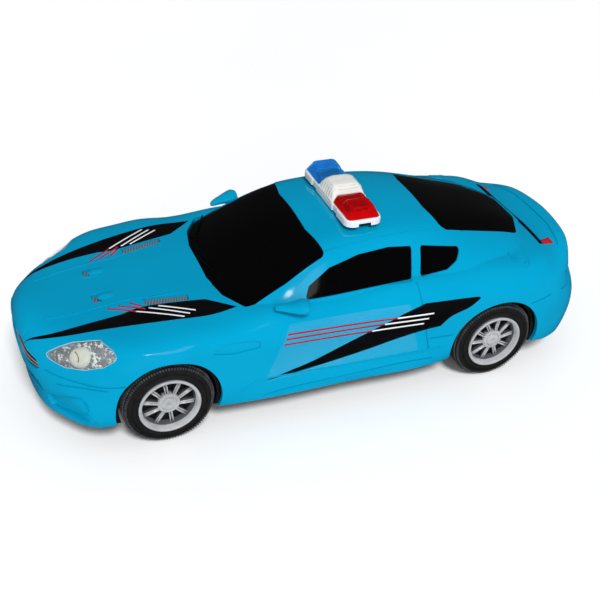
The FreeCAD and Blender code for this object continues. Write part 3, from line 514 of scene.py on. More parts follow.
class Form:
    """One piece under construction: corners in millimetres, faces and each face's finish."""

    def __init__(self) -> None:
        """Starts with nothing."""
        self.points: list[Vector] = []
        self.faces: list[list[int]] = []
        self.picks: list[int] = []

    def add(self, points: Iterable[Sequence[float]], faces: Iterable[Sequence[int]],
            picks: Picks = 0) -> None:
        """Adds corners, and faces that number them from nought.

        Args:
            points: the corners.
            faces: the faces.
            picks: the number of their finish, or each face's own.
        """
        base, count = len(self.points), len(self.faces)
        self.points.extend(Vector(p) for p in points)
        self.faces.extend([base + k for k in face] for face in faces)
        new = len(self.faces) - count
        self.picks.extend([picks] * new if isinstance(picks, int) else picks)

    def take(self, mesh: bpy.types.Mesh) -> None:
        """Adds a mesh, whose corners are in metres."""
        self.add((v.co / MM for v in mesh.vertices), (face.vertices for face in mesh.polygons))

    def tube(self, rows: Sequence[Sequence[Sequence[float]]], caps: Sequence[int] = (),
             closed: bool = False, picks: Picks = 0) -> None:
        """Joins rows of equally many corners, each a ring of its own, one after the other.

        Args:
            rows: the rows of corners.
            caps: the numbers of the rows that get a face across.
            closed: whether the last row joins the first.
            picks: the number of the faces' finish, or each face's own.
        """
        size = len(rows[0])
        faces = []
        for row in range(len(rows) if closed else len(rows) - 1):
            here, after = row * size, (row + 1) % len(rows) * size
            faces.extend([here + k, here + (k + 1) % size, after + (k + 1) % size, after + k]
                         for k in range(size))
        faces.extend(list(range(cap * size, (cap + 1) * size)) for cap in caps)
        self.add([p for row in rows for p in row], faces, picks)

    def lathe(self, profile: Sequence[Pair], middle: Vector, segments: int,
              picks: Picks = 0) -> None:
        """Adds a ring turned about the axle.

        Args:
            profile: the section's closed outline, as places along the axle and radii.
            middle: the ring's middle.
            segments: how many steps it has.
            picks: the number of the faces' finish, or each face's own.
        """
        rows = [[middle + Vector((r * a, y, r * b)) for y, r in profile]
                for a, b in circle(1.0, segments)]
        self.tube(rows, (), True, picks)

    def mesh(self, name: str) -> bpy.types.Mesh:
        """Returns the form so far as a mesh in metres."""
        mesh = bpy.data.meshes.new(name)
        mesh.from_pydata([p * MM for p in self.points], [], self.faces)
        return mesh

    def piece(self, name: str, slot: str, finishes: Sequence[Finish], node: str = "",
              body: str = BODY, smooth: bool = True) -> None:
        """Makes the finished piece.

        Args:
            name: the piece's name.
            slot: the record's material slot that it shows, or "" for none.
            finishes: its finishes, in the order of their numbers.
            node: the CAD node that it replaces, or "" for none.
            body: the CAD body that it rides on.
            smooth: whether its faces are shaded smooth.
        """
        mesh = self.mesh(name)
        for finish in finishes:
            mesh.materials.append(finish.material())
        mesh.polygons.foreach_set("material_index", self.picks)
        work = bmesh.new()
        work.from_mesh(mesh)
        bmesh.ops.remove_doubles(work, verts=work.verts, dist=MERGE)
        bmesh.ops.recalc_face_normals(work, faces=work.faces)
        work.to_mesh(mesh)
        work.free()
        mesh.polygons.foreach_set("use_smooth", [smooth] * len(mesh.polygons))
        hand_over(bpy.data.objects.new(name, mesh), slot, node, body)


def node_size(name: str) -> tuple[Vector, Vector]:
    """Returns a CAD node's lowest and highest corner in millimetres."""
    low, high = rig.box(name)
    return low / MM, high / MM


def merged(name: str) -> bmesh.types.BMesh:
    """Copies a CAD node's mesh, with its doubles merged.

    Args:
        name: the node's name.

    Returns:
        The mesh in metres, to be worked on and freed.
    """
    work = bmesh.new()
    work.from_mesh(frame["nodes"][name].data)
    bmesh.ops.remove_doubles(work, verts=work.verts, dist=10 * MERGE)
    return work


def circle(radius: float, steps: int) -> list[Pair]:
    """Returns even places round a circle."""
    turns = [2 * math.pi * k / steps for k in range(steps)]
    return [(radius * math.cos(turn), radius * math.sin(turn)) for turn in turns]


def smooth_run(points: Sequence[Pair], steps: int = 6) -> list[Pair]:
    """Draws a smooth curve through points.

    Args:
        points: the points it passes through.
        steps: how many pieces each stretch gets.

    Returns:
        Points along the curve, both ends included.
    """
    if len(points) < 3:
        return list(points)
    out: list[Pair] = []
    for at in range(len(points) - 1):
        before, after = points[max(at - 1, 0)], points[min(at + 2, len(points) - 1)]
        for step in range(steps):
            t = step / steps
            out.append(tuple(0.5 * (2 * b + (c - a) * t + (2 * a - 5 * b + 4 * c - d) * t * t
                                    + (3 * b - a - 3 * c + d) * t ** 3)
                             for a, b, c, d in zip(before, points[at], points[at + 1], after)))
    out.append(points[-1])
    return out


def closed_outline(*runs: Sequence[Pair]) -> list[Pair]:
    """Returns one closed outline of smooth runs that meet at corners."""
    return [point for run in runs for point in smooth_run(run)[:-1]]


def bar_outline(start: Pair, end: Pair, width: float) -> list[Pair]:
    """Widens a straight line.

    Args:
        start: where it starts.
        end: where it ends.
        width: its width.

    Returns:
        Its outline.
    """
    run = Vector(end) - Vector(start)
    side = Vector((-run.y, run.x)).normalized() * width / 2
    return [tuple(Vector(spot) + side * way)
            for spot, way in ((start, 1), (start, -1), (end, -1), (end, 1))]


class Projection(Enum):
    """A side that things are laid from: the way its rays run, and the axes that pairs count on."""

    TOP = ((0, 0, -1), (0, 1))
    BELOW = ((0, 0, 1), (0, 1))
    LEFT = ((0, -1, 0), (0, 2))
    RIGHT = ((0, 1, 0), (0, 2))
    FRONT = ((-1, 0, 0), (1, 2))

    def ray(self, a: float, b: float) -> Ray:
        """Finds the ray onto a place.

        Args:
            a: the place along the first axis.
            b: the place along the second.

        Returns:
            The ray's start and direction.
        """
        along = Vector(self.value[0])
        start = along * -OUTSIDE
        start[self.value[1][0]], start[self.value[1][1]] = a, b
        return start, along


@dataclass(frozen=True)
class View:
    """A place on the car, seen along a direction that it faces."""

    centre: Vector
    aim: Vector

    def ray(self, a: float, b: float) -> Ray:
        """Finds the ray onto a place near the centre.

        Args:
            a: how far the place lies beside the centre.
            b: how far it lies above it.

        Returns:
            The ray's start and direction.
        """
        across = self.aim.cross(Vector((0, 0, 1))).normalized()
        place = self.centre + across * a + across.cross(self.aim) * b
        return place + self.aim * ABOVE, -self.aim


class Skin:
    """The outside of CAD nodes, as something to lay films on and to stand pieces on."""

    def __init__(self, *nodes: str) -> None:
        """Gathers the faces of the CAD nodes of these names."""
        form = Form()
        for name in nodes:
            form.take(frame["nodes"][name].data)
        self.tree = BVHTree.FromPolygons(form.points, form.faces)

    def drop(self, start: Vector, along: Vector) -> Optional[Ray]:
        """Finds where a ray meets the skin.

        Args:
            start: where the ray starts.
            along: its direction.

        Returns:
            The point and the outward normal, or None where it meets nothing.
        """
        place, normal, _, _ = self.tree.ray_cast(start, along)
        if place is None:
            return None
        return place, -normal if normal.dot(along) > 0 else normal

    def lay(self, view: Union[Projection, View], places: Iterable[Pair],
            rise: float = 0.0) -> list[Vector]:
        """Lays a line on the skin.

        Args:
            view: the side that it is laid from.
            places: its places, seen from there.
            rise: how far it stands off the skin.

        Returns:
            Its points, where there is skin.
        """
        hits = [self.drop(*view.ray(*place)) for place in places]
        return [hit[0] + hit[1] * rise for hit in hits if hit is not None]


# geometry nodes


class NodeMaker:
    """A geometry node group with one named input for each size, and the way it is run."""

    def __init__(self, name: str, inputs: dict[str, str]) -> None:
        """Starts the group.

        Args:
            name: the group's name.
            inputs: the kind of each input's socket, by the input's name.
        """
        self.group = bpy.data.node_groups.new(name, "GeometryNodeTree")
        for label, kind in inputs.items():
            self.group.interface.new_socket(
                name=label, in_out="INPUT", socket_type="NodeSocket" + kind)
        self.group.interface.new_socket(
            name="Geometry", in_out="OUTPUT", socket_type="NodeSocketGeometry")
        self.given = add_node(self.group, "NodeGroupInput").outputs

    def out(self, kind: str, inputs: Optional[dict] = None, operation: str = "") -> Socket:
        """Adds a node and returns its first output; see add_node."""
        return add_node(self.group, kind, inputs, operation).outputs[0]

    def close(self, shape: Socket) -> None:
        """Ends the group with real geometry in the given material.

        Args:
            shape: the shape that it ends with.
        """
        real = self.out("GeometryNodeRealizeInstances", {0: shape})
        painted = self.out("GeometryNodeSetMaterial", {
            "Geometry": real, "Material": self.given["Material"]})
        add_node(self.group, "NodeGroupOutput", {0: painted})

    def run(self, values: dict, mesh: bpy.types.Mesh) -> Form:
        """Runs the group on a mesh.

        Args:
            values: the group's inputs by name.
            mesh: the mesh that it starts from.

        Returns:
            The plain result.
        """
        holder = bpy.data.objects.new("node_holder", mesh)
        link(holder)
        modifier = holder.modifiers.new("nodes", "NODES")
        modifier.node_group = self.group
        for item in self.group.interface.items_tree:
            if item.in_out == "INPUT" and item.name in values:
                modifier[item.identifier] = values[item.name]
        bpy.context.view_layer.update()
        seen = holder.evaluated_get(bpy.context.evaluated_depsgraph_get())
        result = bpy.data.meshes.new_from_object(seen)
        form = Form()
        form.take(result)
        bpy.data.objects.remove(holder)
        bpy.data.meshes.remove(result)
        return form


@dataclass(frozen=True)
class RingPlace:
    """Where a ring of equal shapes stands.

    Attributes:
        count: how many shapes there are.
        radius: the ring's radius.
        middle: its middle.
        phase: its turn, as a share of one pitch.
        lean: each shape's lean along the axle, in radians.
    """

    count: int
    radius: float
    middle: Vector
    phase: float
    lean: float = 0.0


class Ring(NodeMaker):
    """Copies of one shape round a circle that stands across the car."""

    def __init__(self) -> None:
        """Builds the node group."""
        super().__init__("shape_ring", {
            "Count": "Int", "Radius": "Float", "Place": "Vector", "Phase": "Float", "Lean": "Float",
            "Shape": "Object", "Material": "Material"})
        given, count = self.given, self.given["Count"]
        pitch = self.out("ShaderNodeMath", {0: 2 * math.pi, 1: count}, "DIVIDE")
        index = self.out("GeometryNodeInputIndex")
        shifted = self.out("ShaderNodeMath", {0: index, 1: given["Phase"]}, "ADD")
        angle = self.out("ShaderNodeMath", {0: shifted, 1: pitch}, "MULTIPLY")
        sine, cosine = (self.out("ShaderNodeMath", {0: angle}, kind) for kind in ("SINE", "COSINE"))
        way = self.out("ShaderNodeCombineXYZ", {"X": sine, "Z": cosine})
        reach = self.out("ShaderNodeVectorMath", {0: way, "Scale": given["Radius"]}, "SCALE")
        place = self.out("ShaderNodeVectorMath", {0: reach, 1: given["Place"]}, "ADD")
        dots = self.out("GeometryNodePoints", {"Count": count, "Position": place})
        turn = self.out("ShaderNodeCombineXYZ", {"X": given["Lean"], "Y": angle})
        shape = add_node(self.group, "GeometryNodeObjectInfo", {"Object": given["Shape"]})
        self.close(self.out("GeometryNodeInstanceOnPoints", {
            "Points": dots, "Instance": shape.outputs["Geometry"], "Rotation": turn}))

    def add(self, form: Form, shape: Form, place: RingPlace, picks: Picks = 0) -> None:
        """Adds a ring of one shape to a piece under construction.

        Args:
            form: the piece.
            shape: one copy, in millimetres from its own middle.
            place: where the ring stands.
            picks: the number of the faces' finish, or each face's own.
        """
        model = bpy.data.objects.new("ring_shape", shape.mesh("ring_shape"))
        link(model)
        ring = self.run({
            "Count": place.count, "Radius": place.radius * MM, "Place": (place.middle * MM)[:],
            "Phase": place.phase, "Lean": place.lean, "Shape": model,
            "Material": Finish.TYRE.material()}, bpy.data.meshes.new("ring_holder"))
        bpy.data.objects.remove(model)
        form.add(ring.points, ring.faces, picks)


class Bead(NodeMaker):
    """A round bead that follows lines, such as a wiper arm or the painted highlight along a lamp's edge."""

    def __init__(self) -> None:
        """Builds the node group."""
        super().__init__("line_bead", {
            "Lines": "Geometry", "Radius": "Float", "Sides": "Int", "Material": "Material"})
        path = self.out("GeometryNodeMeshToCurve", {"Mesh": self.given["Lines"]})
        section = self.out("GeometryNodeCurvePrimitiveCircle", {
            "Resolution": self.given["Sides"], "Radius": self.given["Radius"]})
        self.close(self.out("GeometryNodeCurveToMesh", {
            "Curve": path, "Profile Curve": section, "Fill Caps": True}))

    def build(self, name: str, slot: str, lines: Sequence[Sequence[Vector]], radius: float,
              finish: Finish, closed: bool = False) -> None:
        """Builds one piece of beads.

        Args:
            name: the piece's name.
            slot: the record's material slot that it shows.
            lines: the lines that the beads follow, in millimetres.
            radius: the bead's radius.
            finish: its finish.
            closed: whether each line runs back to its start.
        """
        points: list[Vector] = []
        edges: list[list[int]] = []
        for line in lines:
            base, size = len(points), len(line)
            points.extend(p * MM for p in line)
            count = size if closed else size - 1
            edges.extend([base + k, base + (k + 1) % size] for k in range(count))
        wire = bpy.data.meshes.new("bead_lines")
        wire.from_pydata(points, edges, [])
        form = self.run({"Radius": radius * MM, "Sides": 8, "Material": finish.material()}, wire)
        form.piece(name, slot, [finish])


# stickers


@dataclass(frozen=True)
class Layer:
    """One colour of a sticker: its outline, finish and height above the car's skin."""

    outline: Sequence[Pair]
    finish: Finish
    height: float


@dataclass(frozen=True)
class Sticker:
    """A printed film laid over the skin, cut to its outlines.

    Attributes:
        name: the piece's name.
        layers: its colours, from the lowest up.
        projection: the side it is laid from.
        slot: the record's material slot that it shows, or "" for none.
        step: the spacing of its points.
        edge: how thick the film is at its edge, or nought for a skin with no edge.
        bridge: how far to each side it rests on the skin where it spans a groove.
        clear: how far inner points keep from the outline, as a share of the spacing.
    """

    name: str
    layers: Sequence[Layer]
    projection: Projection
    slot: str = ""
    step: float = 1.2
    edge: float = 0.14
    bridge: float = 1.1
    clear: float = 0.6

    def _flat(self, outline: Sequence[Pair]) -> tuple[list[Vector], list[list[int]]]:
        """Meshes an outline evenly.

        Args:
            outline: the outline's corners.

        Returns:
            The mesh's points and triangles.
        """
        rim: list[Vector] = []
        for here, there in zip(outline, [*outline[1:], outline[0]]):
            run = Vector(there) - Vector(here)
            count = max(1, math.ceil(run.length / self.step))
            rim.extend(Vector(here) + run * k / count for k in range(count))
        loop = [[k, (k + 1) % len(rim)] for k in range(len(rim))]
        rough = delaunay_2d_cdt(rim, loop, [], 1, 1e-5)
        hull = [[rough[0][k] for k in face] for face in rough[2] if len(face) == 3]
        low = Vector((min(p.x for p in rim), min(p.y for p in rim)))
        high = Vector((max(p.x for p in rim), max(p.y for p in rim)))
        inner: list[Vector] = []
        for i in range(1, int((high.x - low.x) / self.step) + 1):
            for j in range(1, int((high.y - low.y) / self.step) + 1):
                p = low + Vector((i * self.step, j * self.step))
                near = min((p - q).length_squared for q in rim)
                if near > (self.clear * self.step) ** 2 and any(
                        intersect_point_tri_2d(p, *tri) for tri in hull):
                    inner.append(p)
        mesh = delaunay_2d_cdt(rim + inner, loop, [], 1, 1e-5)
        return mesh[0], mesh[2]

    def _lay(self, skin: Skin, spot: Pair) -> Optional[Ray]:
        """Drops one point of the film, which spans narrow grooves and does not dip into them.

        Args:
            skin: the surface that carries it.
            spot: the point's place.

        Returns:
            The point and the skin's normal there, or None where there is no skin.
        """
        start, along = self.projection.ray(*spot)
        hit = skin.drop(start, along)
        if hit is None:
            return None
        depths = [(hit[0] - start).dot(along)]
        for a, b in ((1, 0), (0, 1), (1, 1), (1, -1)):
            beside = skin.lay(self.projection, [
                (spot[0] + way * a, spot[1] + way * b) for way in (self.bridge, -self.bridge)])
            if len(beside) == 2:
                depths.append(sum((place - start).dot(along) for place in beside) / 2)
        return start + along * min(depths), hit[1]

    def build(self, skin: Skin) -> None:
        """Lays the film.

        Args:
            skin: the surface that carries it.
        """
        form = Form()
        finishes = list(dict.fromkeys(layer.finish for layer in self.layers))
        for layer in self.layers:
            flat, tris = self._flat(layer.outline)
            laid = [self._lay(skin, p) for p in flat]
            kept = [list(tri) for tri in tris if all(laid[k] is not None for k in tri)]
            hits = [hit if hit is not None else (Vector(), Vector()) for hit in laid]
            points = [place + normal * height for height in (layer.height, layer.height - self.edge)
                      for place, normal in hits]
            size, uses = len(flat), Counter(
                (min(pair), max(pair)) for tri in kept for pair in zip(tri, tri[1:] + tri[:1]))
            walls = [[a, b, size + b, size + a] for (a, b), count in uses.items()
                     if count == 1 and self.edge > 0]
            form.add(points, kept + walls, finishes.index(layer.finish))
        form.piece(self.name, self.slot, finishes)


# body shell, its stickers and its trim


@dataclass(frozen=True)
class NodeFinishes:
    """Which finish each CAD node shows, by the start of its name."""

    table: tuple[tuple[str, Finish], ...] = (
        ("body_shell", Finish.BODY_BLUE), ("mirror_", Finish.BODY_BLUE),
        ("base_plate", Finish.BASE), ("windscreen", Finish.WINDOW), ("rear_window", Finish.WINDOW),
        ("door_glass", Finish.WINDOW), ("quarter_glass", Finish.WINDOW), ("rim_", Finish.RIM),
        ("tyre_", Finish.TYRE), ("axle_", Finish.STEEL), ("screws", Finish.STEEL),
        ("grille", Finish.GRILLE), ("lower_intake", Finish.PANEL), ("hood_vents", Finish.INSERT),
        ("headlamp_", Finish.LAMP_COVER), ("reflector_", Finish.FOIL), ("lamp_bulb", Finish.BULB),
        ("lens_red", Finish.RED_LENS), ("lens_blue", Finish.BLUE_LENS), ("lightbar_", Finish.TRAY))

    def apply(self) -> None:
        """Gives each CAD node its finish."""
        for name, node in frame["nodes"].items():
            finish = next(f for start, f in self.table if name.startswith(start))
            for slot in node.material_slots:
                slot.material = finish.material()
            if not node.material_slots:
                node.data.materials.append(finish.material())


@dataclass(frozen=True)
class Trim:
    """Something that is fitted to the body, with what it is made with.

    Attributes:
        skin: the body's skin, which it is laid on.
        bead: the maker of its beads.
    """

    skin: Skin
    bead: Bead


@dataclass(frozen=True)
class Livery(Trim):
    """The car's stickers: one on each side of the hood, one on each door and one on the trunk lid.

    Attributes:
        film: how far the print's lowest colour stands above the skin.
        print_rise: how far each further colour stands above it.
        line_width: the width of the red and white lines.
        hood_sweep: the runs round the left sweep on the hood, seen from the top.
        hood_white: the ends of its white lines.
        hood_red: the ends of its red lines.
        door_sweep: the runs round the sweep on the door, seen from the side.
        door_lines: the front, the turn from red to white, and the rear of its lines.
        door_film: the corners of the clear film under it.
        trunk_band: the front edge of the band on the trunk lid, seen from the top.
        trunk_width: the band's width.
        trunk_ends: the corners of its two red pieces.
    """

    film: float = 0.1
    print_rise: float = 0.05
    line_width: float = 0.85
    hood_sweep: tuple[Run, ...] = (
        ((144.1, 18.7), (136.4, 24.0), (128.0, 26.4), (112.0, 27.4), (100.1, 27.3)),
        ((100.1, 27.3), (90.0, 25.9), (68.5, 29.1), (61.6, 30.4)),
        ((61.6, 30.4), (49.4, 40.2)),
        ((49.4, 40.2), (64.7, 42.1), (81.4, 40.1), (102.5, 36.2), (123.4, 31.2), (136.0, 25.8),
         (144.1, 18.7)))
    hood_white: tuple[Run, ...] = (
        ((87.9, 27.7), (71.2, 38.3)), ((83.4, 27.8), (68.1, 36.8)), ((93.9, 28.0), (74.2, 39.7)))
    hood_red: tuple[Run, ...] = (
        ((105.6, 20.6), (93.9, 28.0)), ((100.4, 20.7), (89.4, 27.9)), ((95.1, 20.8), (90.3, 25.4)))
    door_sweep: tuple[Run, ...] = (
        ((39.8, 25.6), (13.0, 28.0), (-13.4, 31.8), (-39.4, 37.3), (-51.1, 38.9)),
        ((-51.1, 38.9), (-56.3, 44.2), (-65.5, 48.0), (-71.2, 51.9)),
        ((-71.2, 51.9), (-70.9, 52.6), (-69.6, 52.9)),
        ((-69.6, 52.9), (-41.3, 53.9)),
        ((-41.3, 53.9), (-29.3, 49.9), (-24.8, 47.7), (10.2, 33.1), (27.2, 28.6), (39.8, 25.6)))
    door_lines: tuple[Run, ...] = (
        ((29.6, 49.9), (-26.8, 48.1), (-46.1, 47.8)), ((30.6, 47.6), (-20.4, 45.6), (-43.7, 45.1)),
        ((31.5, 44.8), (-14.1, 42.7), (-41.5, 42.3)))
    door_film: Run = ((28.6, 54.4), (-33.1, 54.6), (-41.0, 25.5), (40.1, 25.0))
    trunk_band: Run = ((-118.5, 33.1), (-118.5, 23.4), (-118.4, 13.4), (-117.7, 3.9),
                       (-117.1, -5.7), (-117.0, -20.0), (-117.5, -32.9))
    trunk_width: float = 2.6
    trunk_ends: tuple[Run, ...] = (
        ((-121.4, 33.0), (-128.3, 32.3), (-127.9, 27.3), (-121.3, 29.6)),
        ((-120.4, -31.6), (-120.6, -27.0), (-122.6, -25.4), (-122.4, -29.2)))

    def build(self) -> None:
        """Lays every sticker."""
        for side, word in SIDES:
            self._hood(side, word)
            self._door(word)
        run = smooth_run(self.trunk_band)
        band = run + [(a - self.trunk_width, b) for a, b in reversed(run)]
        layers = [self._layer(band, Finish.VINYL_BLACK, 0)]
        layers.extend(self._layer(end, Finish.VINYL_RED, 0) for end in self.trunk_ends)
        Sticker("trunk_sticker", layers, Projection.TOP).build(self.skin)

    def _layer(self, outline: Sequence[Pair], finish: Finish, rise: int) -> Layer:
        """Returns one colour of print, a step higher for each layer below it."""
        return Layer(outline, finish, self.film + rise * self.print_rise)

    def _bar(self, start: Pair, end: Pair, finish: Finish) -> Layer:
        """Returns one straight line on the black."""
        return self._layer(bar_outline(start, end, self.line_width), finish, 1)

    def _hood(self, side: int, word: str) -> None:
        """Lays the long black sweep on one side of the hood, with its lines.

        Args:
            side: 1 on the left and -1 on the right.
            word: the side's name.
        """
        layers = [self._layer(closed_outline(*self.hood_sweep), Finish.VINYL_BLACK, 0)]
        layers.extend(self._bar(*ends, Finish.VINYL_WHITE) for ends in self.hood_white)
        layers.extend(self._bar(*ends, Finish.VINYL_RED) for ends in self.hood_red)
        turned = [Layer([(a, side * b) for a, b in layer.outline], layer.finish, layer.height)
                  for layer in layers]
        Sticker("hood_sticker_" + word, turned, Projection.TOP).build(self.skin)

    def _door(self, word: str) -> None:
        """Lays the black sweep along one side, with its lines and clear film.

        Args:
            word: the side's name.
        """
        layers = [self._layer(self.door_film, Finish.VINYL_CLEAR, -1),
                  self._layer(closed_outline(*self.door_sweep), Finish.VINYL_BLACK, 0)]
        for front, middle, rear in self.door_lines:
            layers.append(self._bar(front, middle, Finish.VINYL_RED))
            layers.append(self._bar(middle, rear, Finish.VINYL_WHITE))
        Sticker("door_sticker_" + word, layers, Projection[word.upper()]).build(self.skin)


@dataclass(frozen=True)
class Headlamp(Trim):
    """A lamp behind its cover: crinkled foil in patches of painted reflection, a cream dome with a
    bright ring and a painted highlight, and a painted highlight along the cover's edge.

    Attributes:
        aim: the direction that the left lamp faces.
        centre: the middle of the left dome.
        facet: the longest side of a foil facet.
        crinkle: how far the facets' corners stand off the smooth form.
        lift: how far the foil lies nearer the cover than the CAD form.
        sink: how far the foil under the dome lies back, to clear it.
        dome: the dome's rings, as radius and height above the foil.
        ring: the radius of the bright ring round the dome.
        steps: how many points an outline gets.
        thin: half the width of the painted highlight along the cover's edge.
        thick: half the width of the ring and of the painted highlight on the dome.
        patch: the size of one patch of facets, in the foil's own silver or a painted reflection, along each axis.
        tones: the finishes that a patch is drawn from, by number: the foil's own silver and its painted grey and dark
            reflections.
        stray: the share of facets that don't follow their patch.
        crescent: the line of the painted highlight on the dome.
        crescent_rise: the painted highlight's height above the foil.
        reach: how far the cover's edge is looked for, and how closely.
    """

    aim: Triple = (0.75, 0.3, 0.55)
    centre: Triple = (125.2, 41.6, 47.6)
    facet: float = 3.4
    crinkle: float = 0.28
    lift: float = 0.75
    sink: float = 1.7
    dome: Run = ((0.01, 2.1), (1.4, 2.05), (2.7, 1.93), (3.8, 1.7), (4.5, 1.4), (4.9, 0.9),
                 (5.0, 0.3))
    ring: float = 5.5
    steps: int = 72
    thin: float = 0.15
    thick: float = 0.24
    patch: Triple = (1.0, 1.0, 2.2)
    tones: tuple[int, ...] = (0, 1, 1, 2, 2)
    stray: float = 0.15
    crescent: Run = ((-1.4, -1.8), (-0.7, -0.2), (0.6, 0.8), (2.4, 1.3))
    crescent_rise: float = 2.07
    reach: Pair = (30.0, 0.02)

    def build(self) -> None:
        """Builds both lamps."""
        for side, word in SIDES:
            turn = Vector((1, side, 1))
            view = View(Vector(self.centre) * turn, (Vector(self.aim) * turn).normalized())
            foil = Skin("reflector_" + word)
            self._foil("reflector_" + word, "reflector_silver", view.aim * self.lift)
            self._foil("lamp_bulb_" + word, "bulb_cream", -view.aim * self.sink)
            self._dome(word, foil, view)
            ring = foil.lay(view, circle(self.ring, self.steps))
            edge = self._edge(Skin("headlamp_" + word), view)
            # the pale bead along the cover's edge is a painted highlight
            for name, slot, line, half, finish in (
                    ("lamp_ring_", "reflector_silver", ring, self.thick, Finish.FOIL),
                    ("lamp_edge_", "lamp_clear", edge, self.thin, Finish.LAMP_EDGE)):
                self.bead.build(name + word, slot, [line], half, finish, True)

    def _foil(self, name: str, slot: str, shift: Vector) -> None:
        """Puts a crinkled, faceted form in the place of one of the lamp's CAD nodes, its facets painted in patches of
        the foil's own silver and of grey and dark reflection.

        Args:
            name: the node's name.
            slot: the record's material slot that it shows.
            shift: how far the form is moved.
        """
        work = merged(name)
        while long_edges := [e for e in work.edges if e.calc_length() > self.facet * MM]:
            bmesh.ops.subdivide_edges(work, edges=long_edges, cuts=1)
            bmesh.ops.triangulate(work, faces=work.faces)
        draw = random.Random(11)
        for corner in work.verts:
            corner.co += (corner.normal * draw.uniform(-self.crinkle, self.crinkle) + shift) * MM
        mesh = bpy.data.meshes.new(name)
        work.to_mesh(mesh)
        work.free()
        form = Form()
        form.take(mesh)
        # painted reflection: each patch of facets is drawn from the foil's silver and its painted grey and dark
        # reflections
        tone_of: dict[tuple[int, ...], int] = {}
        for number, face in enumerate(form.faces):
            middle = sum((form.points[k] for k in face), Vector()) / len(face)
            cell = tuple(round(v / size) for v, size in zip(middle, self.patch))
            if cell not in tone_of:
                tone_of[cell] = draw.choice(self.tones)
            form.picks[number] = (tone_of[cell] if draw.random() > self.stray
                                  else draw.choice((0, 1, 2)))
        form.piece(name + "_foil", slot, [Finish.FOIL, Finish.FOIL_PAINTED_GREY, Finish.FOIL_PAINTED_DARK], name,
                   smooth=False)

    def _dome(self, word: str, foil: Skin, view: View) -> None:
        """Stands the cream dome on the foil, with a painted highlight in the shape of a crescent on it.

        Args:
            word: the side's name.
            foil: the foil that it stands on.
            view: how the lamp is seen.
        """
        rows = [[spot + view.aim * height for spot in foil.lay(view, circle(radius, self.steps))]
                for radius, height in self.dome]
        form = Form()
        form.tube(rows)
        form.piece("lamp_dome_" + word, "bulb_cream", [Finish.BULB])
        # painted highlight: a crescent of grey foil laid on the dome
        mark = [spot + view.aim * self.crescent_rise
                for spot in foil.lay(view, smooth_run(self.crescent))]
        self.bead.build("lamp_crescent_" + word, "bulb_cream", [mark], self.thick, Finish.FOIL_PAINTED_GREY)

    def _edge(self, cover: Skin, view: View) -> list[Vector]:
        """Finds the line along a cover's edge.

        Args:
            cover: the cover.
            view: how the lamp is seen.

        Returns:
            The line's points.
        """
        line: list[Vector] = []
        for a, b in circle(1.0, self.steps):
            near, far = 0.0, self.reach[0]
            while far - near > self.reach[1]:
                middle = (near + far) / 2
                met = cover.lay(view, [(a * middle, b * middle)])
                near, far = (middle, far) if met else (near, middle)
            line.extend(cover.lay(view, [(a * near, b * near)]))
        return line


@dataclass(frozen=True)
class Nose(Trim):
    """The grille's silver slats, which meet at its pointed ends.

    Attributes:
        slats: how many there are.
        reach: how far to each side they are looked for, in millimetres.
        levels: the lowest and highest place that is tried for the grille's edges, and the step.
        fewest: how many of those places must meet the grille where there are slats.
        first: how far the first slat lies above the grille's foot, in pitches.
        ends: the room above and below the slats, in pitches, less one.
        rise: how far the slats stand in front of the grille.
        half: half a slat's width.
    """

    slats: int = 3
    reach: int = 31
    levels: Triple = (30.0, 47.0, 0.25)
    fewest: int = 4
    first: float = 0.7
    ends: float = 0.4
    rise: float = 0.1
    half: float = 0.15

    def build(self) -> None:
        """Builds the slats."""
        grille = Skin("grille")
        rows: list[list[Vector]] = [[] for _ in range(self.slats)]
        low, high, step = self.levels
        for y in range(-self.reach, self.reach + 1):
            found = [hit.z for hit in grille.lay(
                Projection.FRONT, [(y, low + step * k) for k in range(int((high - low) / step))])]
            if len(found) < self.fewest:
                continue
            for number, row in enumerate(rows):
                share = (number + self.first) / (self.slats + self.ends)
                place = (y, found[0] + (found[-1] - found[0]) * share)
                row.extend(hit + Vector((self.rise, 0, 0))
                           for hit in grille.lay(Projection.FRONT, [place]))
        self.bead.build("grille_slats", "insert_grey", rows, self.half, Finish.RIM)


@dataclass(frozen=True)
class Scoops(Trim):
    """The lips of the scoop on each side of the front bumper.

    Attributes:
        lips: each lip's piece name, its places on the left and half its width.
        aim: the direction that the left scoop faces.
        step: the spacing of a lip's points.
    """

    lips: tuple[tuple[str, tuple[Triple, ...], float], ...] = (
        ("scoop_lips", ((138.6, 32.5, 24.9), (132.0, 41.0, 28.2), (125.3, 48.7, 29.8),
                        (122.8, 50.5, 24.7), (119.7, 54.6, 18.1)), 0.22),
        ("scoop_shelves", ((138.0, 32.7, 20.2), (132.2, 38.9, 17.9), (127.0, 46.0, 19.6),
                           (122.0, 53.5, 22.0)), 0.5))
    aim: Triple = (0.6, 0.8, 0.0)
    step: float = 1.5

    def build(self) -> None:
        """Builds the lips on both sides."""
        for name, run, half in self.lips:
            lines = []
            for side, _ in SIDES:
                turn = Vector((1, side, 1))
                out = Vector(self.aim) * turn
                spots = [Vector(spot) * turn for spot in run]
                count = int(sum((b - a).length for a, b in zip(spots, spots[1:])) / self.step)
                places = []
                for k in range(count + 1):
                    at = k / count * (len(spots) - 1)
                    start = min(int(at), len(spots) - 2)
                    places.append(spots[start].lerp(spots[start + 1], at - start))
                lines.append([hit for place in places
                              for hit in self.skin.lay(View(place, out), [(0, 0)])])
            self.bead.build(name, "body_blue", lines, half, Finish.BODY_BLUE)


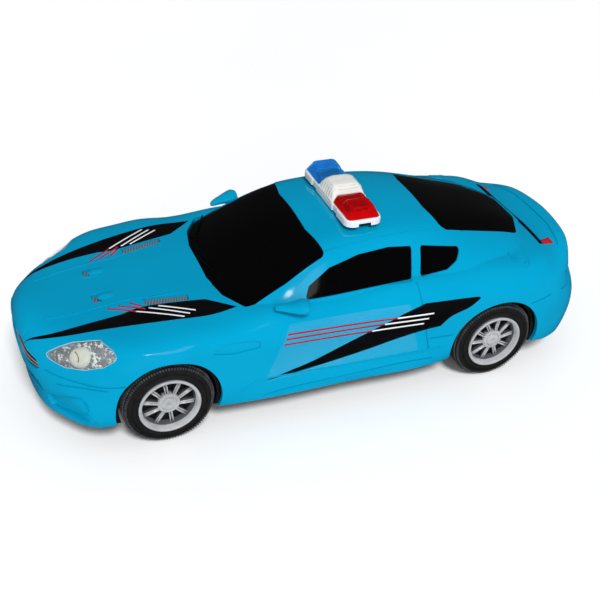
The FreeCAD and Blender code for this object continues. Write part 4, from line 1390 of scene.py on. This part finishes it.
@dataclass(frozen=True)
class Wipers(Trim):
    """Two slim moulded wipers along the foot of the windscreen.

    Attributes:
        parts: each piece's name, its runs and half its width.
        lift: how far they stand off the glass.
    """

    parts: tuple[tuple[str, tuple[Run, ...], float], ...] = (
        ("wiper_blades", (((41.2, -42.1), (45.6, -31.7), (50.0, -21.4), (52.6, -15.0)),
                          ((53.0, -12.0), (52.4, -2.6), (51.2, 9.6), (49.8, 20.9),
                           (48.3, 29.5))), 0.42),
        ("wiper_arms", (((53.6, -24.0), (50.9, -22.6), (46.4, -32.0)),
                        ((54.4, -3.0), (53.2, 6.0), (50.9, 14.5))), 0.6))
    lift: float = 0.3

    def build(self) -> None:
        """Builds both wipers."""
        glass = Skin("windscreen", "body_shell")
        for name, runs, half in self.parts:
            lines = [glass.lay(Projection.TOP, smooth_run(run), self.lift) for run in runs]
            self.bead.build(name, "window_black", lines, half, Finish.WINDOW)


@dataclass(frozen=True)
class FuelCap(Trim):
    """The round fuel flap on each rear shoulder, drawn as two fine rings.

    Attributes:
        place: the flap's middle, seen from the top.
        radii: the rings' radii.
        half: half a ring's width.
        steps: how many points a circle gets.
        patch_place: the middle of the skin over the CAD's own groove, seen from the side.
        patch: that skin's radius.
        patch_rise: how far it stands off the body.
        patch_step: the spacing of its points.
    """

    place: Pair = (-99.3, 45.9)
    radii: Pair = (2.9, 4.5)
    half: float = 0.34
    steps: int = 40
    patch_place: Pair = (-99.25, 62.0)
    patch: float = 4.8
    patch_rise: float = 0.02
    patch_step: float = 0.9

    def build(self) -> None:
        """Builds both flaps."""
        for side, word in SIDES:
            x, y = self.place
            rings = [self.skin.lay(Projection.TOP, [
                (x + a, side * (y + b)) for a, b in circle(radius, self.steps)])
                for radius in self.radii]
            self.bead.build("fuel_flap_" + word, "body_blue", rings, self.half,
                            Finish.BODY_BLUE, True)
            x, z = self.patch_place
            disc = [(hit.x, hit.y) for hit in self.skin.lay(
                Projection[word.upper()],
                [(x + a, z + b) for a, b in circle(self.patch, self.steps)])]
            Sticker("shoulder_skin_" + word, [Layer(disc, Finish.BODY_BLUE, self.patch_rise)],
                    Projection.TOP, "body_blue", self.patch_step, 0.0).build(self.skin)


@dataclass(frozen=True)
class BodyLines(Trim):
    """The fine raised lines of the moulding.

    Attributes:
        lines: each piece's name, its places and half its width.
        side_lines: the same for the lines whose places are seen from the side.
    """

    lines: tuple[tuple[str, Run, float], ...] = (
        ("roof_lines", ((16.9, 34.7), (-3.2, 34.5), (-24.6, 33.2), (-46.9, 31.9),
                        (-72.5, 30.3)), 0.3),
        ("hood_creases", ((134.0, 16.0), (122.0, 17.8), (108.0, 18.2), (94.4, 18.5),
                          (85.2, 20.2), (69.8, 21.9)), 0.3),
        ("vent_lips", ((111.5, 7.3), (107.5, 6.9), (103.5, 6.2)), 0.3))
    side_lines: tuple[tuple[str, Run, float], ...] = (
        ("sill_lips", ((52.0, 22.5), (40.2, 26.6), (22.3, 26.3), (4.0, 25.6), (-14.7, 25.2),
                       (-36.6, 24.6), (-52.9, 25.4)), 0.45),)

    def build(self) -> None:
        """Builds every line on both sides."""
        for name, run, half in self.lines:
            laid = [self.skin.lay(Projection.TOP, [(x, side * y) for x, y in smooth_run(run)])
                    for side, _ in SIDES]
            self.bead.build(name, "body_blue", laid, half, Finish.BODY_BLUE)
        for name, run, half in self.side_lines:
            laid = [self.skin.lay(view, smooth_run(run))
                    for view in (Projection.LEFT, Projection.RIGHT)]
            self.bead.build(name, "body_blue", laid, half, Finish.BODY_BLUE)


@dataclass(frozen=True)
class Underside(Trim):
    """The base plate's moulded ribs, and a dark filling in the cross slot of each screw as painted shade.

    Attributes:
        ribs: the corners of each rib's run, as places along and across the car.
        half: half a rib's width.
        step: the spacing of a rib's points.
        slot: half the length and half the width of a cross slot.
        proud: how far the slots' filling stands out of the head.
        sunk: how deep it sits in the head.
    """

    ribs: tuple[Run, ...] = (
        ((55.0, 30.0), (55.0, -30.0), (-52.0, -30.0), (-52.0, 30.0), (55.0, 30.0)),
        ((45.0, 20.0), (45.0, -20.0), (-42.0, -20.0), (-42.0, 20.0), (45.0, 20.0)),
        ((20.0, 20.0), (20.0, -20.0)), ((-17.0, 20.0), (-17.0, -20.0)),
        ((120.0, 18.0), (120.0, -18.0)), ((114.0, 22.0), (114.0, -22.0)),
        ((-114.0, 22.0), (-114.0, -22.0)), ((-120.0, 18.0), (-120.0, -18.0)))
    half: float = 0.5
    step: float = 4.0
    slot: Pair = (1.15, 0.25)
    proud: float = 0.02
    sunk: float = 0.3

    def build(self) -> None:
        """Builds the ribs and the slots."""
        plate = Skin("base_plate")
        lines = []
        for run in self.ribs:
            for start, end in zip(run, run[1:]):
                way = Vector(end) - Vector(start)
                count = int(way.length / self.step)
                lines.append(plate.lay(Projection.BELOW, [
                    Vector(start) + way * k / count for k in range(count + 1)]))
        self.bead.build("base_ribs", "base_black", lines, self.half, Finish.BASE)
        self._slots()

    def _slots(self) -> None:
        """Fills the cross slot in each screw's head with dark plastic, as painted shade."""
        work = merged("screws")
        spots = [v.co / MM for v in work.verts]
        work.free()
        form = Form()
        for sx, sy in SQUARE:
            near = [p for p in spots if p.x * sx > 0 and p.y * sy > 0]
            low = min(p.z for p in near)
            head = [p for p in near if p.z < low + self.sunk]
            x, y, _ = sum(head, Vector((0, 0, 0))) / len(head)
            for a, b in (self.slot, self.slot[::-1]):
                form.tube([[(x + i * a, y + j * b, z) for i, j in SQUARE]
                           for z in (low - self.proud, low + self.sunk)], (0, 1))
        # painted shade: the filling is black where the slots would only be in shade
        form.piece("screw_slots", "base_black", [Finish.TYRE], smooth=False)


# wheels


@dataclass(frozen=True)
class TreadRow:
    """One ring of tread blocks.

    Attributes:
        offset: how far from the tyre's middle it lies, along the axle.
        length: a block's length along the axle.
        width: a block's width round the tyre.
        phase: the ring's turn, as a share of one pitch.
        top: how far the blocks' tops lie below the tyre's full radius.
        lean: how far a block leans towards the sidewall, in degrees.
    """

    offset: float
    length: float
    width: float
    phase: float
    top: float = 0.0
    lean: float = 0.0


def wheel_body(name: str) -> str:
    """Returns the axle body that a wheel piece of this name rides on."""
    return "front_axle" if "front" in name else "rear_axle"


@dataclass(frozen=True)
class Tyre:
    """A slick-walled toy tyre with fine blocks round its tread and shoulders.

    Attributes:
        count: how many blocks a ring has.
        groove: how deep the grooves between them are.
        root: how far the blocks reach into the carcass.
        inset: how far the tread stays inside the CAD tyre.
        press: how far the carcass reaches over the rim.
        segments: how many steps the carcass has.
        foot: the lower sidewall, as places in from the side and radii above the rim's.
        shoulder: the upper sidewall, as places in from the side and below the grooves' floor.
        rows: the rings of blocks.
    """

    count: int = 96
    groove: float = 0.6
    root: float = 0.35
    inset: float = 0.02
    press: float = 0.4
    segments: int = 128
    foot: Run = ((1.0, 0.0), (0.55, 0.5), (0.25, 1.2), (0.0, 2.6), (0.0, 3.4))
    shoulder: Run = ((0.3, 3.99), (0.42, 3.57), (0.42, 2.52), (0.9, 1.26), (1.9, 0.12))
    rows: tuple[TreadRow, ...] = (
        TreadRow(-5.6, 2.6, 0.85, 0.0), TreadRow(-1.9, 3.2, 0.85, 0.5),
        TreadRow(1.9, 3.2, 0.85, 0.0), TreadRow(5.6, 2.6, 0.85, 0.5),
        TreadRow(7.75, 2.6, 0.6, 0.0, 1.62, 58.0), TreadRow(-7.75, 2.6, 0.6, 0.0, 1.62, -58.0))

    def build(self, ring: Ring) -> None:
        """Builds the four tyres over their CAD nodes.

        Args:
            ring: the maker of the rings of blocks.
        """
        block_half = (self.groove + self.root) / 2
        for name in sorted(n for n in frame["nodes"] if n.startswith("tyre_")):
            low, high = node_size(name)
            rim_low, rim_high = node_size(name.replace("tyre", "rim"))
            middle, size = (low + high) / 2, (high - low) / 2
            bead = (rim_high.z - rim_low.z) / 2 - self.press
            side = [(size.y - a, bead + b) for a, b in self.foot]
            side.extend((size.y - a, size.z - self.groove - b) for a, b in self.shoulder)
            carcass, tread = Form(), Form()
            carcass.lathe(side + [(-y, r) for y, r in reversed(side)], middle, self.segments)
            carcass.piece(name + "_carcass", "tyre_rubber", [Finish.TYRE], name, wheel_body(name))
            for row in self.rows:
                block = Form()
                block.tube([[(x * row.width / 2, y * row.length / 2, z) for x, y in SQUARE]
                            for z in (-block_half, block_half)], (0, 1))
                ring.add(tread, block, RingPlace(
                    self.count, size.z - row.top - block_half - self.inset,
                    middle + Vector((0, row.offset, 0)), row.phase, math.radians(row.lean)))
            # the blocks' lighter finish is a painted highlight
            tread.piece(name + "_tread", "tyre_rubber", [Finish.TREAD], "", wheel_body(name), False)


@dataclass(frozen=True)
class Rim:
    """A ten-spoke rim: barrel with a lip, dark well, channelled spokes, hub, lugs and cap.

    Depths are counted inwards from the rim's outer face.

    Attributes:
        lip: the barrel's outside, as depths and how far below the full radius.
        barrel: its inside, as depths and radii.
        barrel_shaded: the faces of the whole barrel section, deep in the barrel, that get painted shade.
        hub: the hub with its cap, as depths and radii.
        well: the dark well behind the spokes, as depths and radii.
        segments: how many steps the turned forms have.
        spokes: how many spokes there are.
        spoke_rows: the radius, depth and half width of a spoke at its foot and at its tip.
        spoke_height: how high the spoke's section is.
        channel: the section, as shares of the half width and of the height.
        shaded: the faces of the section, its side walls and the channel's floor, that get painted shade.
        lugs: how many lugs there are.
        lug_place: the radius of their ring, and its depth.
        lug_rows: the height and radius of each row of a lug.
        lug_sides: how many sides a lug has.
        turns: how far the front and the rear rims are turned, in degrees.
    """

    lip: Run = ((16.0, 0.55), (1.6, 0.55), (0.9, 0.1), (0.4, 0.0), (0.0, 0.45), (0.0, 0.95))
    barrel: Run = ((0.3, 13.45), (1.0, 13.15), (1.3, 12.95), (3.0, 12.9), (3.4, 12.6), (6.3, 12.2),
                   (16.0, 12.2))
    barrel_shaded: tuple[int, ...] = (9, 10, 11)
    hub: Run = ((5.9, 0.01), (5.9, 5.3), (2.8, 5.3), (2.3, 4.9), (2.3, 3.6), (2.65, 3.45),
                (2.65, 3.25), (1.9, 3.1), (1.75, 2.75), (1.68, 0.01))
    well: Run = ((5.9, 4.8), (5.9, 12.5), (6.7, 12.5), (6.7, 4.8))
    segments: int = 96
    spokes: int = 10
    spoke_rows: tuple[Triple, ...] = ((4.6, 2.5, 0.833), (13.4, 3.9, 1.078))
    spoke_height: float = 3.2
    channel: Run = ((-1.0, -1.0), (-1.0, -0.12), (-0.82, 0.0), (-0.5, -0.03), (-0.3, -0.3),
                    (0.3, -0.3), (0.5, -0.03), (0.82, 0.0), (1.0, -0.12), (1.0, -1.0))
    shaded: tuple[int, ...] = (0, 4, 8)
    lugs: int = 5
    lug_place: Pair = (4.375, 2.3)
    lug_rows: Run = ((-1.0, 0.62), (0.25, 0.62), (0.5, 0.372))
    lug_sides: int = 10
    turns: Pair = (8.0, 22.0)

    def build(self, ring: Ring) -> None:
        """Builds the four rims over their CAD nodes.

        Args:
            ring: the maker of the rings of spokes and lugs.
        """
        spoke, lug = Form(), Form()
        spoke.tube([[(x * half, h * self.spoke_height - depth, radius) for x, h in self.channel]
                    for radius, depth, half in self.spoke_rows], (0, 1))
        lug.tube([[(a, height, b) for a, b in circle(radius, self.lug_sides)]
                  for height, radius in self.lug_rows], (len(self.lug_rows) - 1,))
        # painted shade: these picks give the spokes' side walls and channel floors the darker rim finish
        dull = [int(k in self.shaded) for k in range(len(spoke.faces))]
        for name in sorted(n for n in frame["nodes"] if n.startswith("rim_")):
            low, high = node_size(name)
            # each rim is built on the left, and mirrored where it belongs on the right
            side = 1 if "left" in name else -1
            radius = (high.z - low.z) / 2
            outer = Vector(((low.x + high.x) / 2, high.y if side > 0 else -low.y, low.z + radius))
            turn = self.turns["rear" in name] / 360
            barrel = [(depth, radius - below) for depth, below in self.lip] + list(self.barrel)
            # painted shade: the deep faces of the barrel take the darker rim finish
            picks = [int(k in self.barrel_shaded) for k in range(len(barrel))] * self.segments
            face, well = Form(), Form()
            for form, profile, shades in (
                    (face, barrel, picks), (face, self.hub, 0), (well, self.well, 0)):
                section = [(-depth, reach) for depth, reach in profile]
                form.lathe(section, outer, self.segments, shades)
            ring.add(face, spoke, RingPlace(self.spokes, 0.0, outer, turn * self.spokes),
                     dull * self.spokes)
            reach, depth = self.lug_place
            ring.add(face, lug, RingPlace(
                self.lugs, reach, outer - Vector((0, depth, 0)), turn * self.lugs))
            for form in (face, well):
                form.points = [p * Vector((1, side, 1)) for p in form.points]
            body = wheel_body(name)
            face.piece(name + "_face", "rim_silver", [Finish.RIM, Finish.RIM_SHADE], name, body)
            well.piece(name + "_well", "tyre_rubber", [Finish.TYRE], "", body)


# light bar


@dataclass(frozen=True)
class LightBar(Trim):
    """The roof light bar: its tray, its milky cover, two hollow lenses and their dark sockets.

    Attributes:
        wall: the thickness of a lens's wall.
        lift: how far a lens's sockets stand above its foot.
        socket_half: half the length of a socket.
        socket_taper: how far a socket's top is drawn in.
        sockets: each socket's near and far end, and its height.
        tray: a quarter of the tray's outline, from one end's middle to one side's.
        tray_rings: each ring of the tray's edge, as its inset and how far below the top it lies.
        edge_narrowing: how many times more the rings draw in along the car than across it.
        notch: half the length of the notch in each end, the place it starts at and its height.
        foot: the height of the tray's foot over the roof's middle.
        above_node: how far the dark foot stays above the CAD node's lowest corner.
        shadow_foot_rings: each ring of the black foot, which is partly a dark base and partly painted shadow under the
            tray, as shares of the outline and how far it goes down.
        seat: how far the tray's edge sinks into the roof.
        cover_rings: each ring of the cover, as its height, half length, half width and corner.
        corner_steps: how many steps a corner of the cover has.
        fins: how many fins each side of the cover has.
        fin_pitch: their pitch.
        fin_half: half a fin's width.
        fin_places: each corner of a fin, as the number of its cover ring and its reach past it.
        boss_place: the place across the car and the height of the boss on the cover.
        boss: half the boss's length, half its width and its height.
        boss_steps: how many steps the boss has upwards and around.
        lined: the first of the cover's rings with a fine line along it, and the one past the last.
        line_half: half a fine line's width.
    """

    wall: float = 0.9
    lift: float = 0.02
    socket_half: float = 5.2
    socket_taper: float = 0.3
    sockets: tuple[Triple, ...] = ((9.9, 13.4, 2.7), (15.4, 19.8, 3.0))
    tray: Run = ((0.0, 29.0), (3.1, 29.0), (3.3, 29.0), (5.6, 29.0), (7.3, 28.5), (8.8, 27.3),
                 (9.45, 25.6), (9.6, 24.0), (9.6, 16.3), (8.95, 15.5), (8.95, 10.8), (9.6, 10.1),
                 (9.6, 0.0))
    tray_rings: Run = ((0.0, -0.7), (0.22, -0.2), (0.65, 0.0))
    edge_narrowing: float = 3.0
    notch: Triple = (3.2, 28.0, 86.5)
    foot: float = 84.9
    above_node: float = 0.5
    shadow_foot_rings: tuple[Triple, ...] = ((0.84, 0.88, 3.2), (0.86, 0.9, 0.0))
    seat: float = 0.12
    cover_rings: tuple[tuple[float, float, float, float], ...] = (
        (88.3, 9.5, 9.3, 1.2), (89.0, 9.45, 9.2, 1.2), (89.25, 8.9, 8.9, 1.3),
        (91.5, 8.2, 7.9, 1.6), (93.4, 7.4, 6.7, 2.0), (94.5, 6.6, 5.6, 2.4),
        (95.05, 5.6, 4.6, 2.6), (95.2, 4.2, 3.2, 2.4))
    corner_steps: int = 5
    fins: int = 5
    fin_pitch: float = 2.3
    fin_half: float = 0.55
    fin_places: tuple[tuple[int, float], ...] = ((2, 0.35), (4, 0.3), (4, -0.8), (2, -0.8))
    boss_place: Pair = (3.4, 94.6)
    boss: Triple = (2.3, 1.5, 0.55)
    boss_steps: tuple[int, int] = (5, 20)
    lined: tuple[int, int] = (3, 6)
    line_half: float = 0.16

    def build(self) -> None:
        """Builds the tray, the cover, both lenses and their sockets."""
        self._tray()
        self._cover()
        for name, finish, side in (
                ("lens_red", Finish.RED_LENS, 1), ("lens_blue", Finish.BLUE_LENS, -1)):
            self._lens(name, finish)
            self._sockets(name, side)

    def _tray(self) -> None:
        """Builds the white tray, waisted beside the cover, on its black foot; the foot and the underside of the tray's
        edge are partly a dark base and partly painted shadow under the tray.
        """
        low, high = node_size("lightbar_base")
        middle = (low.x + high.x) / 2
        half = [*self.tray, *((x, -y) for x, y in reversed(self.tray[:-1]))]
        outline = half + [(-x, y) for x, y in reversed(half[1:-1])]
        rings = [(along, across, max(self.foot - drop, low.z + self.above_node))
                 for along, across, drop in self.shadow_foot_rings]
        upper = [(1 - inset / high.y * self.edge_narrowing, 1 - inset / high.y, high.z + drop)
                 for inset, drop in self.tray_rings]
        rows = [[(middle + x * along, y * across, z) for x, y in outline]
                for along, across, z in rings + upper]
        edge = []
        for x, y in outline:
            hits = self.skin.lay(Projection.TOP, [(middle + x, y)])
            seat = max([self.foot, *(hit.z - self.seat for hit in hits)])
            notched = abs(x) < self.notch[0] and abs(y) > self.notch[1]
            edge.append((middle + x, y, self.notch[2] if notched else seat))
        rows.insert(len(rings), edge)
        size = len(outline)
        form = Form()
        # painted shadow, in part: the foot's walls, the underside of the edge and the bottom cap take the black finish
        form.tube(rows, (0, len(rows) - 1),
                  picks=[1] * len(rings) * size + [0] * len(upper) * size + [1, 0])
        form.piece("lightbar_tray", "bar_white", [Finish.TRAY, Finish.TYRE], "lightbar_base",
                   smooth=False)

    def _cover(self) -> None:
        """Builds the milky cover between the lenses, with its fins, oval boss and fine lines."""
        low, high = node_size("lightbar_cover")
        middle = (low.x + high.x) / 2
        rows = []
        for z, hx, hy, corner in self.cover_rings:
            row = []
            for start, (sx, sy) in enumerate(((1, 1), (-1, 1), (-1, -1), (1, -1))):
                for k in range(self.corner_steps + 1):
                    angle = math.pi / 2 * (start + k / self.corner_steps)
                    row.append((middle + sx * (hx - corner) + corner * math.cos(angle),
                                sy * (hy - corner) + corner * math.sin(angle), z))
            rows.append(row)
        form = Form()
        form.tube(rows, (len(rows) - 1, 0))
        places = [(self.cover_rings[at][1] + reach, self.cover_rings[at][0])
                  for at, reach in self.fin_places]
        for side, _ in SIDES:
            for k in range(self.fins):
                y = (k - (self.fins - 1) / 2) * self.fin_pitch
                form.tube([[(middle + side * reach, y + half, z) for reach, z in places]
                           for half in (-self.fin_half, self.fin_half)], (0, 1))
        y, z = self.boss_place
        (long, wide, tall), (rings, spans) = self.boss, self.boss_steps
        lifts = [math.pi / 2 * ring / rings for ring in range(rings + 1)]
        form.tube([[(middle + long * a, y + wide * b, z + tall * math.sin(lift))
                    for a, b in circle(math.cos(lift), spans)] for lift in lifts])
        form.piece("lightbar_cover_shell", "bar_white", [Finish.COVER], "lightbar_cover",
                   smooth=False)
        lines = [[Vector((middle + way * (hx - corner), side * hy, z)) for way in (-1, 1)]
                 for side, _ in SIDES for z, hx, hy, corner in self.cover_rings[slice(*self.lined)]]
        self.bead.build("lightbar_cover_lines", "bar_white", lines, self.line_half, Finish.COVER)

    def _lens(self, name: str, finish: Finish) -> None:
        """Puts a thin dome in the place of a lens's solid CAD node.

        Args:
            name: the node's name.
            finish: the lens's finish.
        """
        work = merged(name)
        floor = (node_size(name)[0].z + self.lift) * MM
        flat = [f for f in work.faces if all(v.co.z < floor for v in f.verts)]
        bmesh.ops.delete(work, geom=flat, context="FACES")
        mesh = bpy.data.meshes.new(name + "_dome")
        work.to_mesh(mesh)
        work.free()
        mesh.materials.clear()
        mesh.materials.append(finish.material())
        dome = bpy.data.objects.new(name + "_dome", mesh)
        shell = dome.modifiers.new("wall", "SOLIDIFY")
        shell.thickness = self.wall * MM
        shell.offset = -1
        hand_over(dome, name, name, BODY)

    def _sockets(self, name: str, side: int) -> None:
        """Builds the dark lamp sockets that show through a lens.

        Args:
            name: the lens's CAD node.
            side: 1 on the left and -1 on the right.
        """
        low, high = node_size(name)
        middle = (low.x + high.x) / 2
        form = Form()
        for start, end, height in self.sockets:
            rows = []
            for z, inset in ((low.z + self.lift, 0.0), (low.z + height, self.socket_taper)):
                near, far, wide = start + inset, end - inset, self.socket_half - inset
                rows.append([(middle + x * wide, side * (near if y < 0 else far), z)
                             for x, y in SQUARE])
            form.tube(rows, (0, 1))
        form.piece(name + "_sockets", "", [Finish.LED_BLOCK], smooth=False)


# studio


@dataclass(frozen=True)
class Softbox:
    """A distant soft light that lights the floor evenly.

    Attributes:
        name: the light's name.
        place: the direction it stands in, seen from the car.
        power: its light on a surface that faces it, where one shows a colour as written.
        spread: how wide it looks from the car, in degrees.
        mirrored: whether it shows in shiny surfaces.
    """

    name: str
    place: Triple
    power: float
    spread: float
    mirrored: bool

    def build(self) -> None:
        """Adds the light."""
        data = bpy.data.lights.new(self.name, "SUN")
        data.angle = math.radians(self.spread)
        data.energy = self.power * math.pi
        lamp = bpy.data.objects.new(self.name, data)
        lamp.rotation_euler = (-Vector(self.place)).to_track_quat("-Z", "Y").to_euler()
        lamp.visible_glossy = self.mirrored
        link(lamp)


@dataclass(frozen=True)
class Studio:
    """The pale floor, the soft lights and the photograph's camera.

    Attributes:
        azimuth: the camera's bearing round the car, in degrees.
        elevation: its height above the horizon, in degrees.
        roll: its turn about its own axis, in degrees.
        place: where it stands, in millimetres.
        focal_px: its focal length in pixels of the photograph.
        frame_px: the photograph's width in pixels.
        sensor: the width of the sensor in millimetres.
        floor_half: half the floor's width in millimetres.
        room: the strength of the room's pale light.
        dim: the strength of the room that shiny surfaces show.
        lamps: the lights.
    """

    azimuth: float = 156.388
    elevation: float = 34.781
    roll: float = 4.235
    place: Triple = (177.25, 404.9, 332.8)
    focal_px: float = 1022.206
    frame_px: float = 600.0
    sensor: float = 36.0
    floor_half: float = 3000.0
    room: float = 0.45
    dim: float = 0.03
    lamps: tuple[Softbox, ...] = (
        Softbox("key", (0.07, 0.62, 0.78), 0.77, 15.0, False),
        Softbox("near_glint", (0.12, 0.68, 0.72), 0.03, 5.0, True),
        Softbox("near_sheen", (-0.08, 0.74, 0.67), 0.02, 16.0, True),
        Softbox("fill", (0.25, 0.95, 0.15), 0.3, 40.0, False))

    def camera(self) -> None:
        """Sets up the camera that the photograph was taken with."""
        a, e, r = (math.radians(v) for v in (self.azimuth, self.elevation, self.roll))
        back = Vector((math.sin(a) * math.cos(e), -math.cos(a) * math.cos(e), math.sin(e)))
        level = Vector((math.cos(a), math.sin(a), 0))
        upward = Vector((-math.sin(a) * math.sin(e), math.cos(a) * math.sin(e), math.cos(e)))
        right = math.cos(r) * level + math.sin(r) * upward
        up = -math.sin(r) * level + math.cos(r) * upward
        data = bpy.data.cameras.new("camera")
        data.sensor_width = self.sensor
        data.lens = self.focal_px * self.sensor / self.frame_px
        data.clip_start = 0.01
        camera = bpy.data.objects.new("camera", data)
        turn = Matrix((right, up, back)).transposed().to_4x4()
        camera.matrix_world = Matrix.Translation(Vector(self.place) * MM) @ turn
        link(camera)
        bpy.context.scene.camera = camera

    def floor(self) -> None:
        """Lays the floor that the car stands on."""
        form = Form()
        form.add([(x * self.floor_half, y * self.floor_half, 0) for x, y in SQUARE], [(0, 1, 2, 3)])
        mesh = form.mesh("floor")
        mesh.materials.append(Finish.FLOOR.material())
        floor = bpy.data.objects.new("floor", mesh)
        link(floor)
        floor.visible_glossy = False
        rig.stage(floor)

    def world(self) -> None:
        """Gives the room its even pale light, and the camera and clear plastic a white one."""
        world = bpy.data.worlds.new("room")
        world.use_nodes = True
        tree = world.node_tree
        tree.nodes.clear()
        room, dim, white = (
            add_node(tree, "ShaderNodeBackground", {
                "Color": linear(code), "Strength": strength}).outputs[0]
            for code, strength in (("#f6f8fa", self.room), ("#f6f4f2", self.dim), ("#ffffff", 1.0)))
        path = add_node(tree, "ShaderNodeLightPath").outputs
        shine = add_node(tree, "ShaderNodeMixShader", {0: path["Is Glossy Ray"], 1: room, 2: dim})
        clear = add_node(tree, "ShaderNodeMath", {
            0: path["Is Camera Ray"], 1: path["Is Transmission Ray"]}, "MAXIMUM")
        mixed = add_node(tree, "ShaderNodeMixShader", {
            0: clear.outputs[0], 1: shine.outputs[0], 2: white})
        add_node(tree, "ShaderNodeOutputWorld", {"Surface": mixed.outputs[0]})
        bpy.context.scene.world = world

    def build(self) -> None:
        """Sets the whole studio up."""
        bpy.context.scene.view_settings.view_transform = "Standard"
        self.floor()
        self.world()
        for lamp in self.lamps:
            lamp.build()
        self.camera()


@dataclass(frozen=True)
class SizeNote:
    """Keeps the frame's own box, to be written beside the finished model's."""

    low: Vector
    high: Vector
    path: str = "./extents.json"

    def write(self) -> None:
        """Writes both boxes as plain lists of metres."""
        low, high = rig.bounds()
        note = {"cad": [list(self.low), list(self.high)], "visual": [list(low), list(high)]}
        with open(self.path, "w", encoding="utf-8") as out:
            json.dump(note, out)


def main() -> None:
    """Builds the car's looks piece by piece, then the studio."""
    logging.basicConfig(level=logging.INFO)
    note = SizeNote(*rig.bounds())
    NodeFinishes().apply()
    skin, ring, bead = Skin("body_shell"), Ring(), Bead()
    Livery(skin, bead).build()
    Tyre().build(ring)
    Rim().build(ring)
    for trim in (Headlamp, Nose, Scoops, Wipers, FuelCap, BodyLines, Underside, LightBar):
        trim(skin, bead).build()
    Studio().build()
    note.write()
    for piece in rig.pieces():
        LOG.info("built %s", piece.name)


if __name__ == "__main__":
    main()
